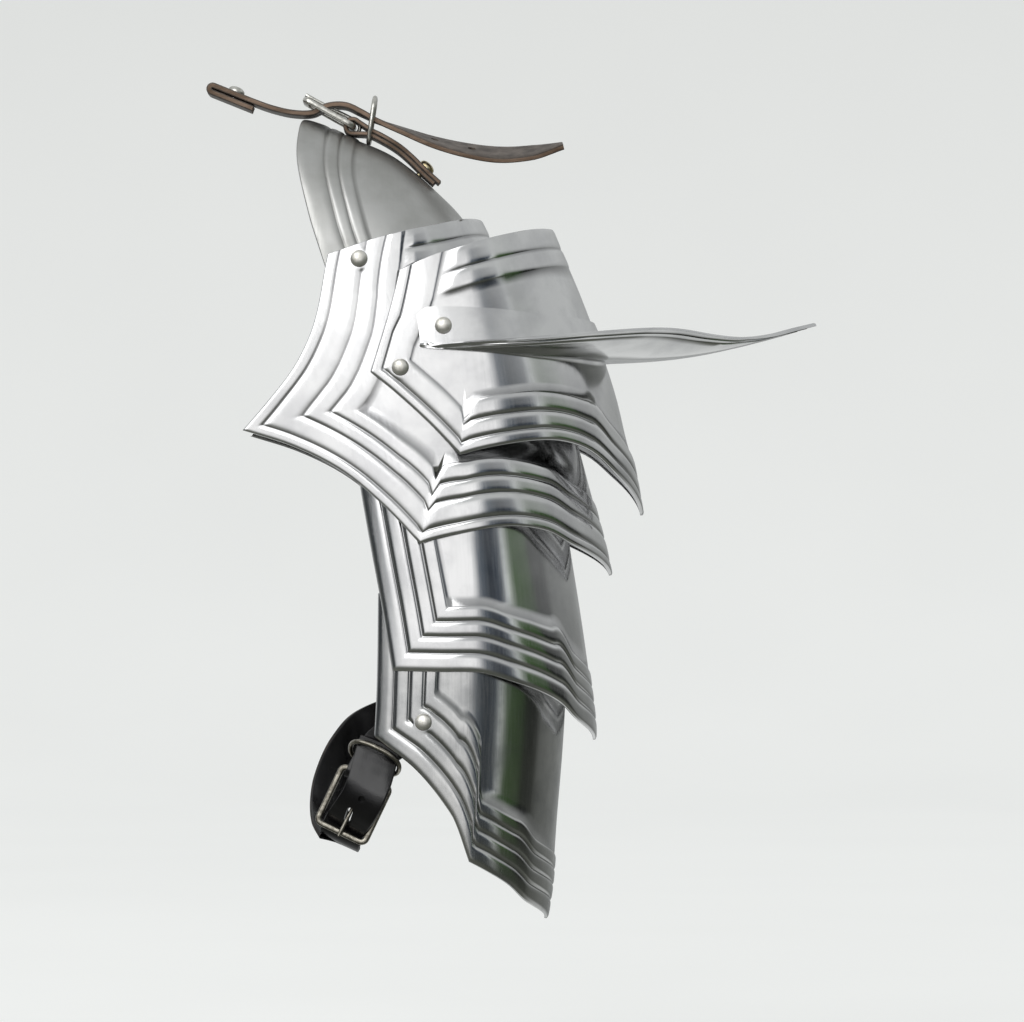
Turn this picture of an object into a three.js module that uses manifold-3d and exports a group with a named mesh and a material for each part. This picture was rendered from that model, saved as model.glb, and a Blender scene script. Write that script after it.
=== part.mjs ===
// Articulated steel shoulder guard with fluted plates, a pointed side fin and two buckled leather straps.
// Millimetres, +Z up. +X runs out along the shoulder, -Y is the front, and the guard is alike front and back.
// The origin is the underside of the cap's crown, where the shoulder carries it.
import * as THREE from "three";
import { mergeVertices } from "three/addons/utils/BufferGeometryUtils.js";
import Module from "manifold-3d";

const wasm = await Module();
wasm.setup();

// Stock sizes
const SHEET = 1.2;
const CLEAR = 0.3;
const FLUTE_HEIGHT = 1.0;
const STRAP_WIDTH = 20;
const STRAP_THICK = 2.6;
const LEATHER_WIDTH = 15;
const LEATHER_THICK = 2.2;
const LEATHER_GAP = 0.7;
const PIVOT_PLAY = 0.6;
const WIRE = 1.4;

// Rivets
const RIVET_HEAD = 3.9;
const RIVET_RISE = 2.5;
const RIVET_SHANK = 1.5;
const RIVET_TAIL = 2.8;
const RIVET_SIDES = 6;

// Length in the plate pattern that a plate's rounded side takes, front to side line
const ROUND = 100;
// Marks the end of an edge that lies on the side line
const SIDE = Infinity;

// Rows of a table as objects with named columns
function table(columns, rows) {
  return rows.map((row) => Object.fromEntries(columns.map((name, i) => [name, row[i]])));
}

const SECTION = ["z", "centre", "side", "depth"];
const POINT = ["x", "z"];

// Plates with upright walls. A section is round at the side and runs on flat to the front and back edges.
// Edges are drawn as seen from the front; an edge with a corner in it has two stretches.
// A plate with side grooves has those along the second stretch of its bottom edge.
const MAIN_PLATE = {
  flat: 400,
  grooves: [5, 15.5, 23, 31],
  topGrooves: [8, 16],
  inner: { columns: [2, 5], rows: 2 },
  sections: table(SECTION, [
    [-203, 54, 121.3, 63.5],
    [-187, 52.5, 117.8, 63.5],
    [-158, 49, 110, 63.3],
    [-143, 46, 106, 63],
    [-120, 41, 98.5, 62.6],
    [-95, 34, 88.5, 62],
    [-70, 26, 77, 61.3],
    [-45, 21, 64.4, 60.8],
    [-30, 18, 57, 60.5],
  ]),
  top: [table(POINT, [[-9.2, -56], [18.3, -47.2], [40.2, -42.1], [52.7, -38.6], [SIDE, -37.2]])],
  front: [
    table(POINT, [[-9.2, -56], [-12.8, -75.3], [-17, -91.4], [-25, -107.6], [-37.6, -123.8], [-48.3, -136]]),
  ],
  bottom: [
    table(POINT, [[-48.3, -136], [-25, -143.5], [-3.4, -154.4], [16.3, -170.6], [32.5, -187.6]]),
    table(POINT, [
      [32.5, -187.6], [46.9, -184], [72.1, -179.8], [90.3, -181.6], [103.2, -188.2], [SIDE, -201.8],
    ]),
  ],
};

const OUTER_PLATE = {
  flat: 400,
  grooves: [5.5, 16.5],
  sideGrooves: [5.5, 13.5, 22.5],
  topGrooves: [9.5, 18],
  inner: { columns: [2, 4], rows: 2 },
  sections: table(SECTION, [
    [-175, 61, 135.8, 67],
    [-151.8, 60, 131.6, 67],
    [-139.6, 59, 128.1, 67],
    [-121.2, 57, 123.8, 67],
    [-103.7, 55, 118.4, 67],
    [-83.4, 52.5, 111.1, 66.9],
    [-68.8, 50, 105.4, 66.7],
    [-48.5, 46, 96.6, 66.3],
    [-38, 44, 92.3, 66],
  ]),
  top: [table(POINT, [[23.2, -63.6], [40.7, -55.9], [65.3, -48.4], [84.7, -43.4], [SIDE, -41.5]])],
  front: [table(POINT, [[23.2, -63.6], [10.1, -109.9]])],
  bottom: [
    table(POINT, [[10.1, -109.9], [21.2, -118.9], [36.1, -132.4], [50.7, -147.5]]),
    table(POINT, [
      [50.7, -147.5], [68.3, -143.3], [87.9, -140.6], [100, -141.3], [111.7, -145.6], [123.4, -155.9],
      [SIDE, -174],
    ]),
  ],
};

const UPPER_LAME = {
  flat: 90,
  grooves: [8.5, 16, 23, 30],
  topGrooves: [],
  inner: { columns: [6], rows: 2 },
  sections: table(SECTION, [
    [-280, 50.5, 113.6, 59],
    [-269, 50.5, 113.3, 59],
    [-244.4, 50.5, 110.3, 59],
    [-218.6, 50.5, 106.6, 59],
    [-186.6, 49.5, 101.5, 59],
    [-148, 48.5, 96, 58.5],
  ]),
  top: [table(POINT, [[3.4, -148], [48.5, -148], [SIDE, -148]])],
  front: [table(POINT, [[3.4, -148], [5, -160], [15, -215], [20.1, -245.5]])],
  bottom: [
    table(POINT, [
      [20.1, -245.5], [42, -245.9], [60.1, -246.3], [73.6, -250], [87.2, -254.7], [97.4, -260.3],
      [105.9, -268.9], [SIDE, -278],
    ]),
  ],
};

const LOWER_LAME = {
  flat: 85,
  grooves: [8, 15, 22, 28.5],
  topGrooves: [],
  inner: { columns: [2, 4], rows: 2 },
  sections: table(SECTION, [
    [-362, 44.3, 90.8, 53],
    [-345.6, 45.3, 93.4, 53.4],
    [-332, 46.3, 94.6, 53.8],
    [-313.5, 47.3, 95.9, 54.3],
    [-286, 47.8, 98.2, 54.8],
    [-263, 48.3, 99.6, 55],
    [-210, 48.3, 100.6, 55],
  ]),
  top: [table(POINT, [[13.5, -210], [48.3, -210], [SIDE, -210]])],
  front: [table(POINT, [[13.5, -210], [13, -248.5], [11.7, -275.8]])],
  bottom: [
    table(POINT, [[11.7, -275.8], [31.1, -290.8], [47.3, -311.5], [55, -332.3]]),
    table(POINT, [[55, -332.3], [63.6, -337], [72.7, -342.8], [81.9, -351.7], [SIDE, -360.8]]),
  ],
};

// Cap over the shoulder: arches from front to back, one for each step outwards along the shoulder
const CAP = {
  foot: -78,
  outEnd: 64,
  grooves: [12.5, 19, 25.5],
  columns: 18,
  innerRows: 4,
  fluteFoot: [-62, -48],
  arches: table(["x", "crown", "half"], [
    [-30, 11.5, 56.5],
    [-21, 9.2, 56.5],
    [-10, 5.6, 56.5],
    [0, SHEET, 56.3],
    [18, -6.5, 55.5],
    [30, -15, 53.5],
    [40, -24, 50.5],
    [50, -34, 46],
    [58, -45, 40],
    [64, -56, 33],
  ]),
  // Neck edge: how far in the cap reaches at each height angle of the arch
  neck: table(["angle", "x"], [[0, -5], [15, -12.3], [29, -18.5], [49, -23.8], [70, -23.2], [90, -21.2]]),
};

// Fin: strip on the outer plate and blade that turns out of it
const FIN = {
  stand: CLEAR,
  bend: 2.2,
  grooves: [4.5, 9],
  columns: 10,
  sag: 3.6,
  strip: table(["x", "top", "join"], [
    [37.2, -83.5, -96.5],
    [41.8, -79, -99],
    [66, -81, -100.2],
    [86.5, -83, -102],
    [SIDE, -86, -103.4],
  ]),
  blade: table(["x", "y", "z"], [
    [37.7, -70.2, -97.5],
    [56.5, -75, -96],
    [82.1, -78, -94.6],
    [113.3, -69, -91.6],
    [138.7, -51, -89.2],
    [153, -36, -89.1],
    [168.8, -21, -91],
    [181.9, -12, -91.9],
    [194.9, -6.5, -90.4],
    [207.8, -2.6, -87],
    [216, 0, -85],
  ]),
};

// Rivets through the plates, as seen from the front
const PIVOT = { x: 5, z: -58.2 };
const PLATE_RIVET = { x: 23.8, z: -107.7 };
const FIN_RIVET = { x: 43.3, z: -88.9 };
const LAME_RIVET = { x: 30, z: -166 };
const ARM_RIVET = { x: 34.3, z: -268.7 };

// Inner leather that the lames hang on: which plate it lies behind at each point
const LEATHER_PATH = table(["x", "z", "plate", "behind"], [
  [23.2, -99, MAIN_PLATE, LEATHER_GAP],
  [23.8, -107.7, MAIN_PLATE, LEATHER_GAP],
  [24.6, -116, MAIN_PLATE, LEATHER_GAP],
  [28, -145, UPPER_LAME, LEATHER_GAP + CLEAR],
  [30, -166, UPPER_LAME, LEATHER_GAP],
  [31, -180, UPPER_LAME, LEATHER_GAP],
  [32, -206, LOWER_LAME, LEATHER_GAP],
  [33.2, -235, LOWER_LAME, LEATHER_GAP],
  [34.3, -268.7, LOWER_LAME, LEATHER_GAP],
  [34.6, -277, LOWER_LAME, LEATHER_GAP],
]);

// Buckle sizes along the strap (heel bar to end bar) and across it
const EYE = 2.3;
const CHAPE_HALF = 2.1;
const CHAPE_WIDTH = 19;
const BUCKLE_INSIDE = STRAP_WIDTH + 1.4;
const KEEPER_WIRE = 1.1;
const KEEPER_HALF_WIDTH = STRAP_WIDTH / 2 + 0.8 + KEEPER_WIRE;

// Shoulder strap in the plane of the crown, from its riveted end to its free tip
const SHOULDER_HEEL = new THREE.Vector3(1.2, 0, 6);
const SHOULDER_END = new THREE.Vector3(-20.4, 0, 18);
const SHOULDER_STRAP = table(["x", "z", "tilt", "width"], [
  [-63, 24.7, 0, 1],
  [-53.5, 20.9, 0, 1],
  [-44, 17.1, 0, 1],
  [-36, 14.3, 0, 1],
  [-26.5, 12.2, 0, 1],
  [-17.5, 12.2, 0, 1],
  [-10, 15.6, 0, 1],
  [-2, 15.8, 0, 1],
  [5.2, 12.6, 0, 1],
  [12.4, 9, 3, 1],
  [24.4, 4.4, 8, 1],
  [38.8, -0.8, 14, 1],
  [54, -4.6, 18, 1],
  [69.2, -6.6, 20, 1],
  [84.4, -5.6, 18, 1],
  [98.8, -2.4, 16, 0.3],
]);
const SHOULDER_CHAPE = table(["x", "z"], [
  [1.2, 6], [7, 4], [12.4, 1.8], [22, -3.8], [28.4, -9.2], [34, -14.8], [40.6, -20.8],
]);
const KEEPER_FOOT = new THREE.Vector3(8.5, 0, -1.3);
const KEEPER_TOP = new THREE.Vector3(11.5, 0, 19.5);
const CHAPE_RIVET_X = 33.6;
const STRAP_FOLD = { layers: 3.2, length: 20.5, flat: 18, rivet: 10.2 };
const STRAP_HOLES = [38.8, 56];
const STRAP_HOLE_RADIUS = 1.9;

// Arm strap: its chape is cut aslant from the lower lame's rivet down to the buckle in front, and the strap
// goes round inside. The rivet lies so far back from the heel bar and to its side.
const ARM_LINE = { back: 34.2, aside: 14.5, length: 28, under: 10.6, seat: 4.1 };
const ARM_DOWN = new THREE.Vector3(-0.43, 0, -0.903);
const ARM_CHAPE = table(["p", "q"], [[0, 0], [-8, 0.1], [-14, 0.5]]);
const ARM_TAB = table(["p", "q", "r"], [
  [-11.5, 0.3, 0], [-16, 0.7, 1], [-22, 1.9, 4.6], [-28, 3.3, 9.8], [-34.2, 4.1, 14.5], [-39, 4.3, 18],
]);
const ARM_TAIL = table(["p", "q"], [
  [-17, 4.6], [-12, 4.1], [-6, 5.3], [0, 6.2], [5, 4.6], [10, 1], [15, -2.2], [21, -3.6], [27, -4.4],
  [30.5, -7], [32, -11],
]);
const ARM_KEEPER = { p: -9.5, q: 2.2, half: KEEPER_HALF_WIDTH + 0.4, tall: 6.6 };
const ARM_LOOP = table(["x", "y", "z"], [
  [-8, -18, -318], [-9.5, -4, -311], [-9, 10, -300], [-4.5, 25, -286], [4, 37, -276],
]);

// Smooth curve through values at rising keys
function smooth(keys, values, at) {
  const last = keys.length - 1;
  const slope = (n) => {
    const lo = Math.max(n - 1, 0);
    const hi = Math.min(n + 1, last);
    return (values[hi] - values[lo]) / (keys[hi] - keys[lo]);
  };
  if (at <= keys[0]) return values[0] + slope(0) * (at - keys[0]);
  if (at >= keys[last]) return values[last] + slope(last) * (at - keys[last]);
  let i = 0;
  while (at > keys[i + 1]) i += 1;
  const span = keys[i + 1] - keys[i];
  const t = (at - keys[i]) / span;
  const rise = values[i + 1] - values[i];
  const bowIn = slope(i) * span - rise;
  const bowOut = rise - slope(i + 1) * span;
  return values[i] + t * rise + t * (1 - t) * ((1 - t) * bowIn + t * bowOut);
}

// Column of a table read as a smooth curve over another column
function read(rows, key, column, at) {
  return smooth(rows.map((row) => row[key]), rows.map((row) => row[column]), at);
}

function lerp(from, to, share) {
  return from + (to - from) * share;
}

function smoothstep(from, to, at) {
  const t = THREE.MathUtils.clamp((at - from) / (to - from), 0, 1);
  return t * t * (3 - 2 * t);
}

// Distances along a row of points
function running(points, keys) {
  const along = [0];
  for (let n = 1; n < points.length; n += 1) {
    const step = Math.hypot(...keys.map((key) => points[n][key] - points[n - 1][key]));
    along.push(along[n - 1] + step);
  }
  return along;
}

// Evenly spaced points on the smooth curve through a table's points
function trace(points, keys, count) {
  const along = running(points, keys);
  const total = along[along.length - 1];
  const traced = [];
  for (let n = 0; n <= count; n += 1) {
    const at = (total * n) / count;
    traced.push(Object.fromEntries(keys.map((key) => [key, smooth(along, points.map((p) => p[key]), at)])));
  }
  return traced;
}

// Pattern place of a point that is seen from the front: 0 on the side line, ROUND where the wall turns flat
function around(plate, x, z) {
  const centre = read(plate.sections, "z", "centre", z);
  const side = read(plate.sections, "z", "side", z);
  if (x <= centre) return ROUND + centre - x;
  const turn = Math.acos(Math.min(1, (x - centre) / (side - centre)));
  return (turn / (Math.PI / 2)) * ROUND;
}

// Point on a plate's outer face, front half
function wall(plate, a, z) {
  const centre = read(plate.sections, "z", "centre", z);
  const side = read(plate.sections, "z", "side", z);
  const depth = read(plate.sections, "z", "depth", z);
  if (a > ROUND) {
    const reach = a - ROUND;
    return new THREE.Vector3(centre - reach, -(depth - (reach * reach) / (2 * plate.flat)), z);
  }
  const turn = (a / ROUND) * (Math.PI / 2);
  return new THREE.Vector3(centre + (side - centre) * Math.cos(turn), -depth * Math.sin(turn), z);
}

// Point, outward normal and level direction on a plate's front, a given depth below its outer face
function spot(plate, x, z, depth = 0) {
  const a = around(plate, x, z);
  const across = wall(plate, a - 0.5, z).sub(wall(plate, a + 0.5, z)).normalize();
  const down = wall(plate, a, z - 0.5).sub(wall(plate, a, z + 0.5)).normalize();
  const normal = new THREE.Vector3().crossVectors(down, across).normalize();
  const at = wall(plate, a, z).addScaledVector(normal, -depth);
  return { at, normal, across };
}

// An edge of a plate in the pattern, by the share of its length, and the share at which its corner lies
function edge(plate, stretches) {
  const path = [];
  let corner = 0;
  for (const points of stretches) {
    const places = points.map((p) => ({ a: around(plate, p.x, p.z), z: p.z }));
    const traced = trace(places, ["a", "z"], 60);
    path.push(...(path.length ? traced.slice(1) : traced));
    corner = corner || path.length - 1;
  }
  const along = running(path, ["a", "z"]);
  const total = along[along.length - 1];
  const at = (share) => {
    const goal = THREE.MathUtils.clamp(share, 0, 1) * total;
    let n = 0;
    while (n < path.length - 2 && along[n + 1] < goal) n += 1;
    const t = (goal - along[n]) / (along[n + 1] - along[n]);
    return { a: lerp(path[n].a, path[n + 1].a, t), z: lerp(path[n].z, path[n + 1].z, t) };
  };
  return { at, corner: along[corner] / total };
}

// Place in the patch between a plate's edges: k from front edge to side line, v from top to bottom
function patch(edges, k, v) {
  const top = edges.top.at(k);
  const bottom = edges.bottom.at(k);
  const front = edges.front.at(v);
  const corners = [edges.top.at(0), edges.top.at(1), edges.bottom.at(0), edges.bottom.at(1)];
  const side = { a: 0, z: lerp(corners[1].z, corners[3].z, v) };
  const blend = (key) => {
    const bowed = lerp(top[key], bottom[key], v) + lerp(front[key], side[key], k);
    const upper = lerp(corners[0][key], corners[1][key], k);
    const lower = lerp(corners[2][key], corners[3][key], k);
    return bowed - lerp(upper, lower, v);
  };
  return { a: blend("a"), z: blend("z") };
}

// Square distance from an edge that one unit of k or v covers there
function pace(from, to, ahead, behind, step) {
  const run = { a: ahead.a - behind.a, z: ahead.z - behind.z };
  const move = { a: to.a - from.a, z: to.z - from.z };
  return Math.abs(run.a * move.z - run.z * move.a) / Math.hypot(run.a, run.z) / step;
}

// Distances of grooves and of the ridge tops between them
function lines(grooves) {
  const list = [0];
  let from = 0;
  for (const groove of grooves) {
    list.push((from + groove) / 2, groove);
    from = groove;
  }
  return list;
}

// Height of the ridges between grooves at a distance from an edge
function ridges(distance, grooves) {
  let from = 0;
  for (const groove of grooves) {
    if (distance < groove) return FLUTE_HEIGHT * Math.sin((Math.PI * (distance - from)) / (groove - from));
    from = groove;
  }
  return 0;
}

// Outer face of a plate as rows of points, with the height of its flutes
function plateGrid(plate, seats) {
  const edges = {
    top: edge(plate, plate.top),
    bottom: edge(plate, plate.bottom),
    front: edge(plate, plate.front),
  };
  const sideGrooves = plate.sideGrooves ?? plate.grooves;
  const border = lines(sideGrooves);
  const crest = plate.topGrooves.length ? lines(plate.topGrooves) : [0];
  const step = 0.002;
  const frontPace = (v) => {
    const ahead = edges.front.at(v + step);
    const behind = edges.front.at(v - step);
    return pace(patch(edges, 0, v), patch(edges, step, v), ahead, behind, step);
  };
  const bottomPace = (k) => {
    const ahead = edges.bottom.at(k + step);
    const behind = edges.bottom.at(k - step);
    return pace(patch(edges, k, 1), patch(edges, k, 1 - step), ahead, behind, step);
  };
  const topPace = (k) => {
    const ahead = edges.top.at(k + step);
    const behind = edges.top.at(k - step);
    return pace(patch(edges, k, 0), patch(edges, k, step), ahead, behind, step);
  };
  const stops = plate.bottom.length > 1 ? [edges.bottom.corner, 1] : [1];
  const columnsAt = (v) => {
    const shares = border.map((e) => e / frontPace(v));
    plate.inner.columns.forEach((count, n) => {
      const from = shares[shares.length - 1];
      for (let m = 1; m <= count; m += 1) shares.push(lerp(from, stops[n], m / count));
    });
    return shares;
  };
  const rowsAt = (k) => {
    const low = border.map((d) => d / bottomPace(k));
    const high = crest.map((t) => t / topPace(k));
    const used = low[low.length - 1] + high[high.length - 1];
    const squeeze = Math.min(1, 0.86 / used);
    const shares = high.map((t) => t * squeeze);
    const from = shares[shares.length - 1];
    const to = 1 - low[low.length - 1] * squeeze;
    for (let m = 1; m < plate.inner.rows; m += 1) shares.push(lerp(from, to, m / plate.inner.rows));
    for (const d of [...low].reverse()) shares.push(1 - d * squeeze);
    return shares;
  };
  const middle = rowsAt(0.5);
  const half = columnsAt(0.5).length - 1;
  const grid = [];
  const relief = [];
  middle.forEach((nominal, j) => {
    const fromEnd = middle.length - 1 - j;
    const d = fromEnd < border.length ? border[fromEnd] : Infinity;
    const t = j < crest.length ? crest[j] : Infinity;
    const shares = columnsAt(nominal);
    const points = [];
    const heights = [];
    shares.forEach((k, i) => {
      const e = i < border.length ? border[i] : Infinity;
      const place = patch(edges, k, rowsAt(k)[j]);
      const point = wall(plate, place.a, place.z);
      const near = Math.min(e, d);
      const grooves = d <= e && k > edges.bottom.corner ? sideGrooves : plate.grooves;
      let height = near < Infinity ? ridges(near, grooves) : ridges(t, plate.topGrooves);
      for (const seat of seats) height *= smoothstep(7.5, 15, Math.hypot(point.x - seat.x, point.z - seat.z));
      points.push(point);
      heights.push(height);
    });
    for (let i = half - 1; i >= 0; i -= 1) {
      points.push(new THREE.Vector3(points[i].x, -points[i].y, points[i].z));
      heights.push(heights[i]);
    }
    grid.push(points);
    relief.push(heights);
  });
  return { grid, relief };
}

// Closed geometry from points and triangles, turned so that its faces look outwards
function closed(points, triangles) {
  let volume = 0;
  const spare = new THREE.Vector3();
  for (const [a, b, c] of triangles) volume += points[a].dot(spare.crossVectors(points[b], points[c]));
  const faces = volume < 0 ? triangles.map(([a, b, c]) => [a, c, b]) : triangles;
  const geometry = new THREE.BufferGeometry();
  const positions = new Float32Array(points.flatMap((p) => [p.x, p.y, p.z]));
  geometry.setAttribute("position", new THREE.BufferAttribute(positions, 3));
  geometry.setIndex(faces.flat());
  return geometry;
}

// Outward normal of a grid at one of its points
function gridNormal(grid, j, i) {
  const rows = grid.length - 1;
  const columns = grid[0].length - 1;
  const down = grid[Math.min(j + 1, rows)][i].clone().sub(grid[Math.max(j - 1, 0)][i]);
  const across = grid[j][Math.min(i + 1, columns)].clone().sub(grid[j][Math.max(i - 1, 0)]);
  return new THREE.Vector3().crossVectors(down, across).normalize();
}

// Sheet whose outer face is a grid raised by its relief
function sheet({ grid, relief }) {
  const rows = grid.length;
  const columns = grid[0].length;
  const points = [];
  for (const back of [0, SHEET]) {
    for (let j = 0; j < rows; j += 1) {
      for (let i = 0; i < columns; i += 1) {
        const lift = relief[j][i] - back;
        points.push(grid[j][i].clone().addScaledVector(gridNormal(grid, j, i), lift));
      }
    }
  }
  const outer = (j, i) => j * columns + i;
  const inner = (j, i) => rows * columns + j * columns + i;
  const triangles = [];
  for (let j = 0; j < rows - 1; j += 1) {
    for (let i = 0; i < columns - 1; i += 1) {
      for (const face of [outer, inner]) {
        const [p, q, r, s] = [face(j, i), face(j + 1, i), face(j + 1, i + 1), face(j, i + 1)];
        const pair = i < (columns - 1) / 2 ? [[p, q, s], [s, q, r]] : [[p, q, r], [p, r, s]];
        triangles.push(...(face === outer ? pair : pair.map(([a, b, c]) => [a, c, b])));
      }
    }
  }
  const rim = (j, i, m, n) => {
    triangles.push([outer(j, i), outer(m, n), inner(m, n)], [outer(j, i), inner(m, n), inner(j, i)]);
  };
  for (let i = 0; i < columns - 1; i += 1) {
    rim(0, i, 0, i + 1);
    rim(rows - 1, i + 1, rows - 1, i);
  }
  for (let j = 0; j < rows - 1; j += 1) {
    rim(j + 1, 0, j, 0);
    rim(j, columns - 1, j + 1, columns - 1);
  }
  return closed(points, triangles);
}

// Point of the cap's outer face at a height angle, front half
function capPoint(x, angle) {
  const crown = read(CAP.arches, "x", "crown", x);
  const half = read(CAP.arches, "x", "half", x);
  const turn = THREE.MathUtils.degToRad(angle);
  return new THREE.Vector3(x, -half * Math.cos(turn), CAP.foot + (crown - CAP.foot) * Math.sin(turn));
}

// Cap as rows from the neck edge outwards; each row is an arch from the front foot to the back foot
function capGrid() {
  const border = lines(CAP.grooves);
  const grid = [];
  const relief = [];
  const last = border.length - 1 + CAP.innerRows;
  for (let j = 0; j <= last; j += 1) {
    const points = [];
    const heights = [];
    for (let i = 0; i <= CAP.columns; i += 1) {
      const share = (2 * i) / CAP.columns;
      const angle = 90 * Math.min(share, 2 - share);
      const neck = read(CAP.neck, "angle", "x", angle);
      const from = neck + border[border.length - 1];
      const inside = (j - border.length + 1) / CAP.innerRows;
      const x = j < border.length ? neck + border[j] : lerp(from, CAP.outEnd, inside);
      const point = capPoint(x, angle);
      if (share > 1) point.y = -point.y;
      const fade = smoothstep(CAP.fluteFoot[0], CAP.fluteFoot[1], point.z);
      points.push(point);
      heights.push(j < border.length ? ridges(border[j], CAP.grooves) * fade : 0);
    }
    grid.push(points);
    relief.push(heights);
  }
  return { grid, relief };
}

// Fin as rows from the strip's top edge down to the bend and out to the blade's edge
function finGrid() {
  const places = FIN.strip.map((row) => {
    const z = (row.top + row.join) / 2;
    return { a: around(OUTER_PLATE, row.x, z), top: row.top, join: row.join };
  });
  const strip = trace(places, ["a", "top", "join"], FIN.columns);
  const rim = trace(FIN.blade, ["x", "y", "z"], FIN.columns);
  const border = lines(FIN.grooves).reverse();
  const rise = SHEET + FIN.stand;
  const onPlate = (a, z, lift) => {
    const at = wall(OUTER_PLATE, a, z);
    const seat = spot(OUTER_PLATE, at.x, z);
    return a < 1e-6 ? at.add(new THREE.Vector3(lift, 0, 0)) : at.addScaledVector(seat.normal, lift);
  };
  const columns = strip.map((place, n) => {
    const a = Math.max(place.a, 0);
    const root = onPlate(a, place.join, rise + FIN.bend * 0.6);
    const tip = new THREE.Vector3(rim[n].x, rim[n].y, rim[n].z);
    const length = root.distanceTo(tip);
    const column = [
      { point: onPlate(a, place.top, rise), height: 0 },
      { point: onPlate(a, lerp(place.top, place.join, 0.5), rise), height: 0 },
      { point: onPlate(a, place.join + FIN.bend, rise), height: 0 },
      { point: root, height: 0 },
    ];
    const blade = (share) => {
      const point = root.clone().lerp(tip, share);
      point.z -= FIN.sag * Math.min(1, length / 90) * Math.sin(Math.PI * share);
      return point;
    };
    const fluted = Math.min(1, (0.7 * length) / border[0]);
    const start = 1 - (border[0] * fluted) / Math.max(length, 1e-6);
    column.push({ point: blade(start / 2), height: 0 });
    for (const off of border) {
      const height = ridges(off, FIN.grooves) * 0.8 * smoothstep(8, 26, length);
      column.push({ point: blade(1 - (off * fluted) / Math.max(length, 1e-6)), height });
    }
    return column;
  });
  const rows = columns[0].length;
  const grid = [];
  const relief = [];
  for (let j = 0; j < rows; j += 1) {
    const front = columns.map((column) => column[j]);
    const back = front.slice(0, -1).reverse();
    const mirror = back.map(({ point }) => new THREE.Vector3(point.x, -point.y, point.z));
    grid.push([...front.map(({ point }) => point), ...mirror]);
    relief.push([...front, ...back].map(({ height }) => height));
  }
  return { grid, relief };
}

// Band or wire swept along stations that each have a place and a direction across
function sweep(stations, section, ring = false) {
  const count = stations.length;
  const points = [];
  stations.forEach(({ at, across, scale = 1 }, n) => {
    const next = ring ? stations[(n + 1) % count] : stations[Math.min(n + 1, count - 1)];
    const last = ring ? stations[(n + count - 1) % count] : stations[Math.max(n - 1, 0)];
    const along = next.at.clone().sub(last.at).normalize();
    const side = across.clone().addScaledVector(along, -across.dot(along)).normalize();
    const through = new THREE.Vector3().crossVectors(along, side);
    for (const [u, v] of section) {
      points.push(at.clone().addScaledVector(side, u * scale).addScaledVector(through, v));
    }
  });
  const size = section.length;
  const triangles = [];
  for (let n = 0; n < (ring ? count : count - 1); n += 1) {
    for (let m = 0; m < size; m += 1) {
      const [a, b] = [n * size + m, n * size + ((m + 1) % size)];
      const [c, d] = [((n + 1) % count) * size + m, ((n + 1) % count) * size + ((m + 1) % size)];
      triangles.push([a, b, d], [a, d, c]);
    }
  }
  if (!ring) {
    const end = (count - 1) * size;
    for (let m = 1; m < size - 1; m += 1) {
      triangles.push([0, m + 1, m], [end, end + m, end + m + 1]);
    }
  }
  return closed(points, triangles);
}

function bandSection(width, thick) {
  return [[-width / 2, -thick / 2], [width / 2, -thick / 2], [width / 2, thick / 2], [-width / 2, thick / 2]];
}

function wireSection(radius) {
  return [0, 1, 2, 3, 4, 5].map((n) => {
    const turn = (n * Math.PI) / 3;
    return [radius * Math.cos(turn), radius * Math.sin(turn)];
  });
}

function mirrored(geometry) {
  const copy = geometry.clone();
  copy.scale(1, -1, 1);
  const index = copy.index.array;
  for (let n = 0; n < index.length; n += 3) [index[n + 1], index[n + 2]] = [index[n + 2], index[n + 1]];
  return copy;
}

function toSolid(geometry) {
  const plain = geometry.clone();
  plain.deleteAttribute("normal");
  plain.deleteAttribute("uv");
  const merged = mergeVertices(plain, 1e-4);
  const vertProperties = new Float32Array(merged.attributes.position.array);
  const triVerts = new Uint32Array(merged.index.array);
  return new wasm.Manifold(new wasm.Mesh({ numProp: 3, vertProperties, triVerts }));
}

function toGeometry(solid) {
  const mesh = solid.getMesh();
  const geometry = new THREE.BufferGeometry();
  geometry.setAttribute("position", new THREE.BufferAttribute(new Float32Array(mesh.vertProperties), 3));
  geometry.setIndex([...mesh.triVerts]);
  return geometry;
}

function joined(first, second) {
  return toGeometry(toSolid(first).add(toSolid(second)));
}

// Geometry with the given tools cut out of it
function cut(geometry, tools) {
  let solid = toSolid(geometry);
  for (const tool of tools) solid = solid.subtract(toSolid(tool));
  return toGeometry(solid);
}

// Geometry that was drawn along +Y, turned to an axis and placed
function aim(geometry, axis, at) {
  const turn = new THREE.Quaternion().setFromUnitVectors(new THREE.Vector3(0, 1, 0), axis);
  geometry.applyQuaternion(turn);
  geometry.translate(at.x, at.y, at.z);
  return geometry;
}

// Domed rivet whose head sits on the outer face and whose tail closes on the innermost face at a depth
function rivet({ at, normal }, depth) {
  const end = -depth - CLEAR;
  const profile = [
    [0, end - 1.2], [RIVET_TAIL, end - 1.2], [RIVET_TAIL, end], [RIVET_SHANK, end], [RIVET_SHANK, CLEAR],
    [RIVET_HEAD, CLEAR], [RIVET_HEAD * 0.72, CLEAR + RIVET_RISE * 0.7], [0, CLEAR + RIVET_RISE],
  ];
  const turned = new THREE.LatheGeometry(profile.map(([r, y]) => new THREE.Vector2(r, y)), RIVET_SIDES);
  return aim(turned, normal, at);
}

function rivetHole({ at, normal }, depth) {
  const radius = RIVET_SHANK + CLEAR;
  const hole = new THREE.CylinderGeometry(radius, radius, depth + 8, RIVET_SIDES);
  hole.translate(0, -depth / 2, 0);
  return aim(hole, normal, at);
}

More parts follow.
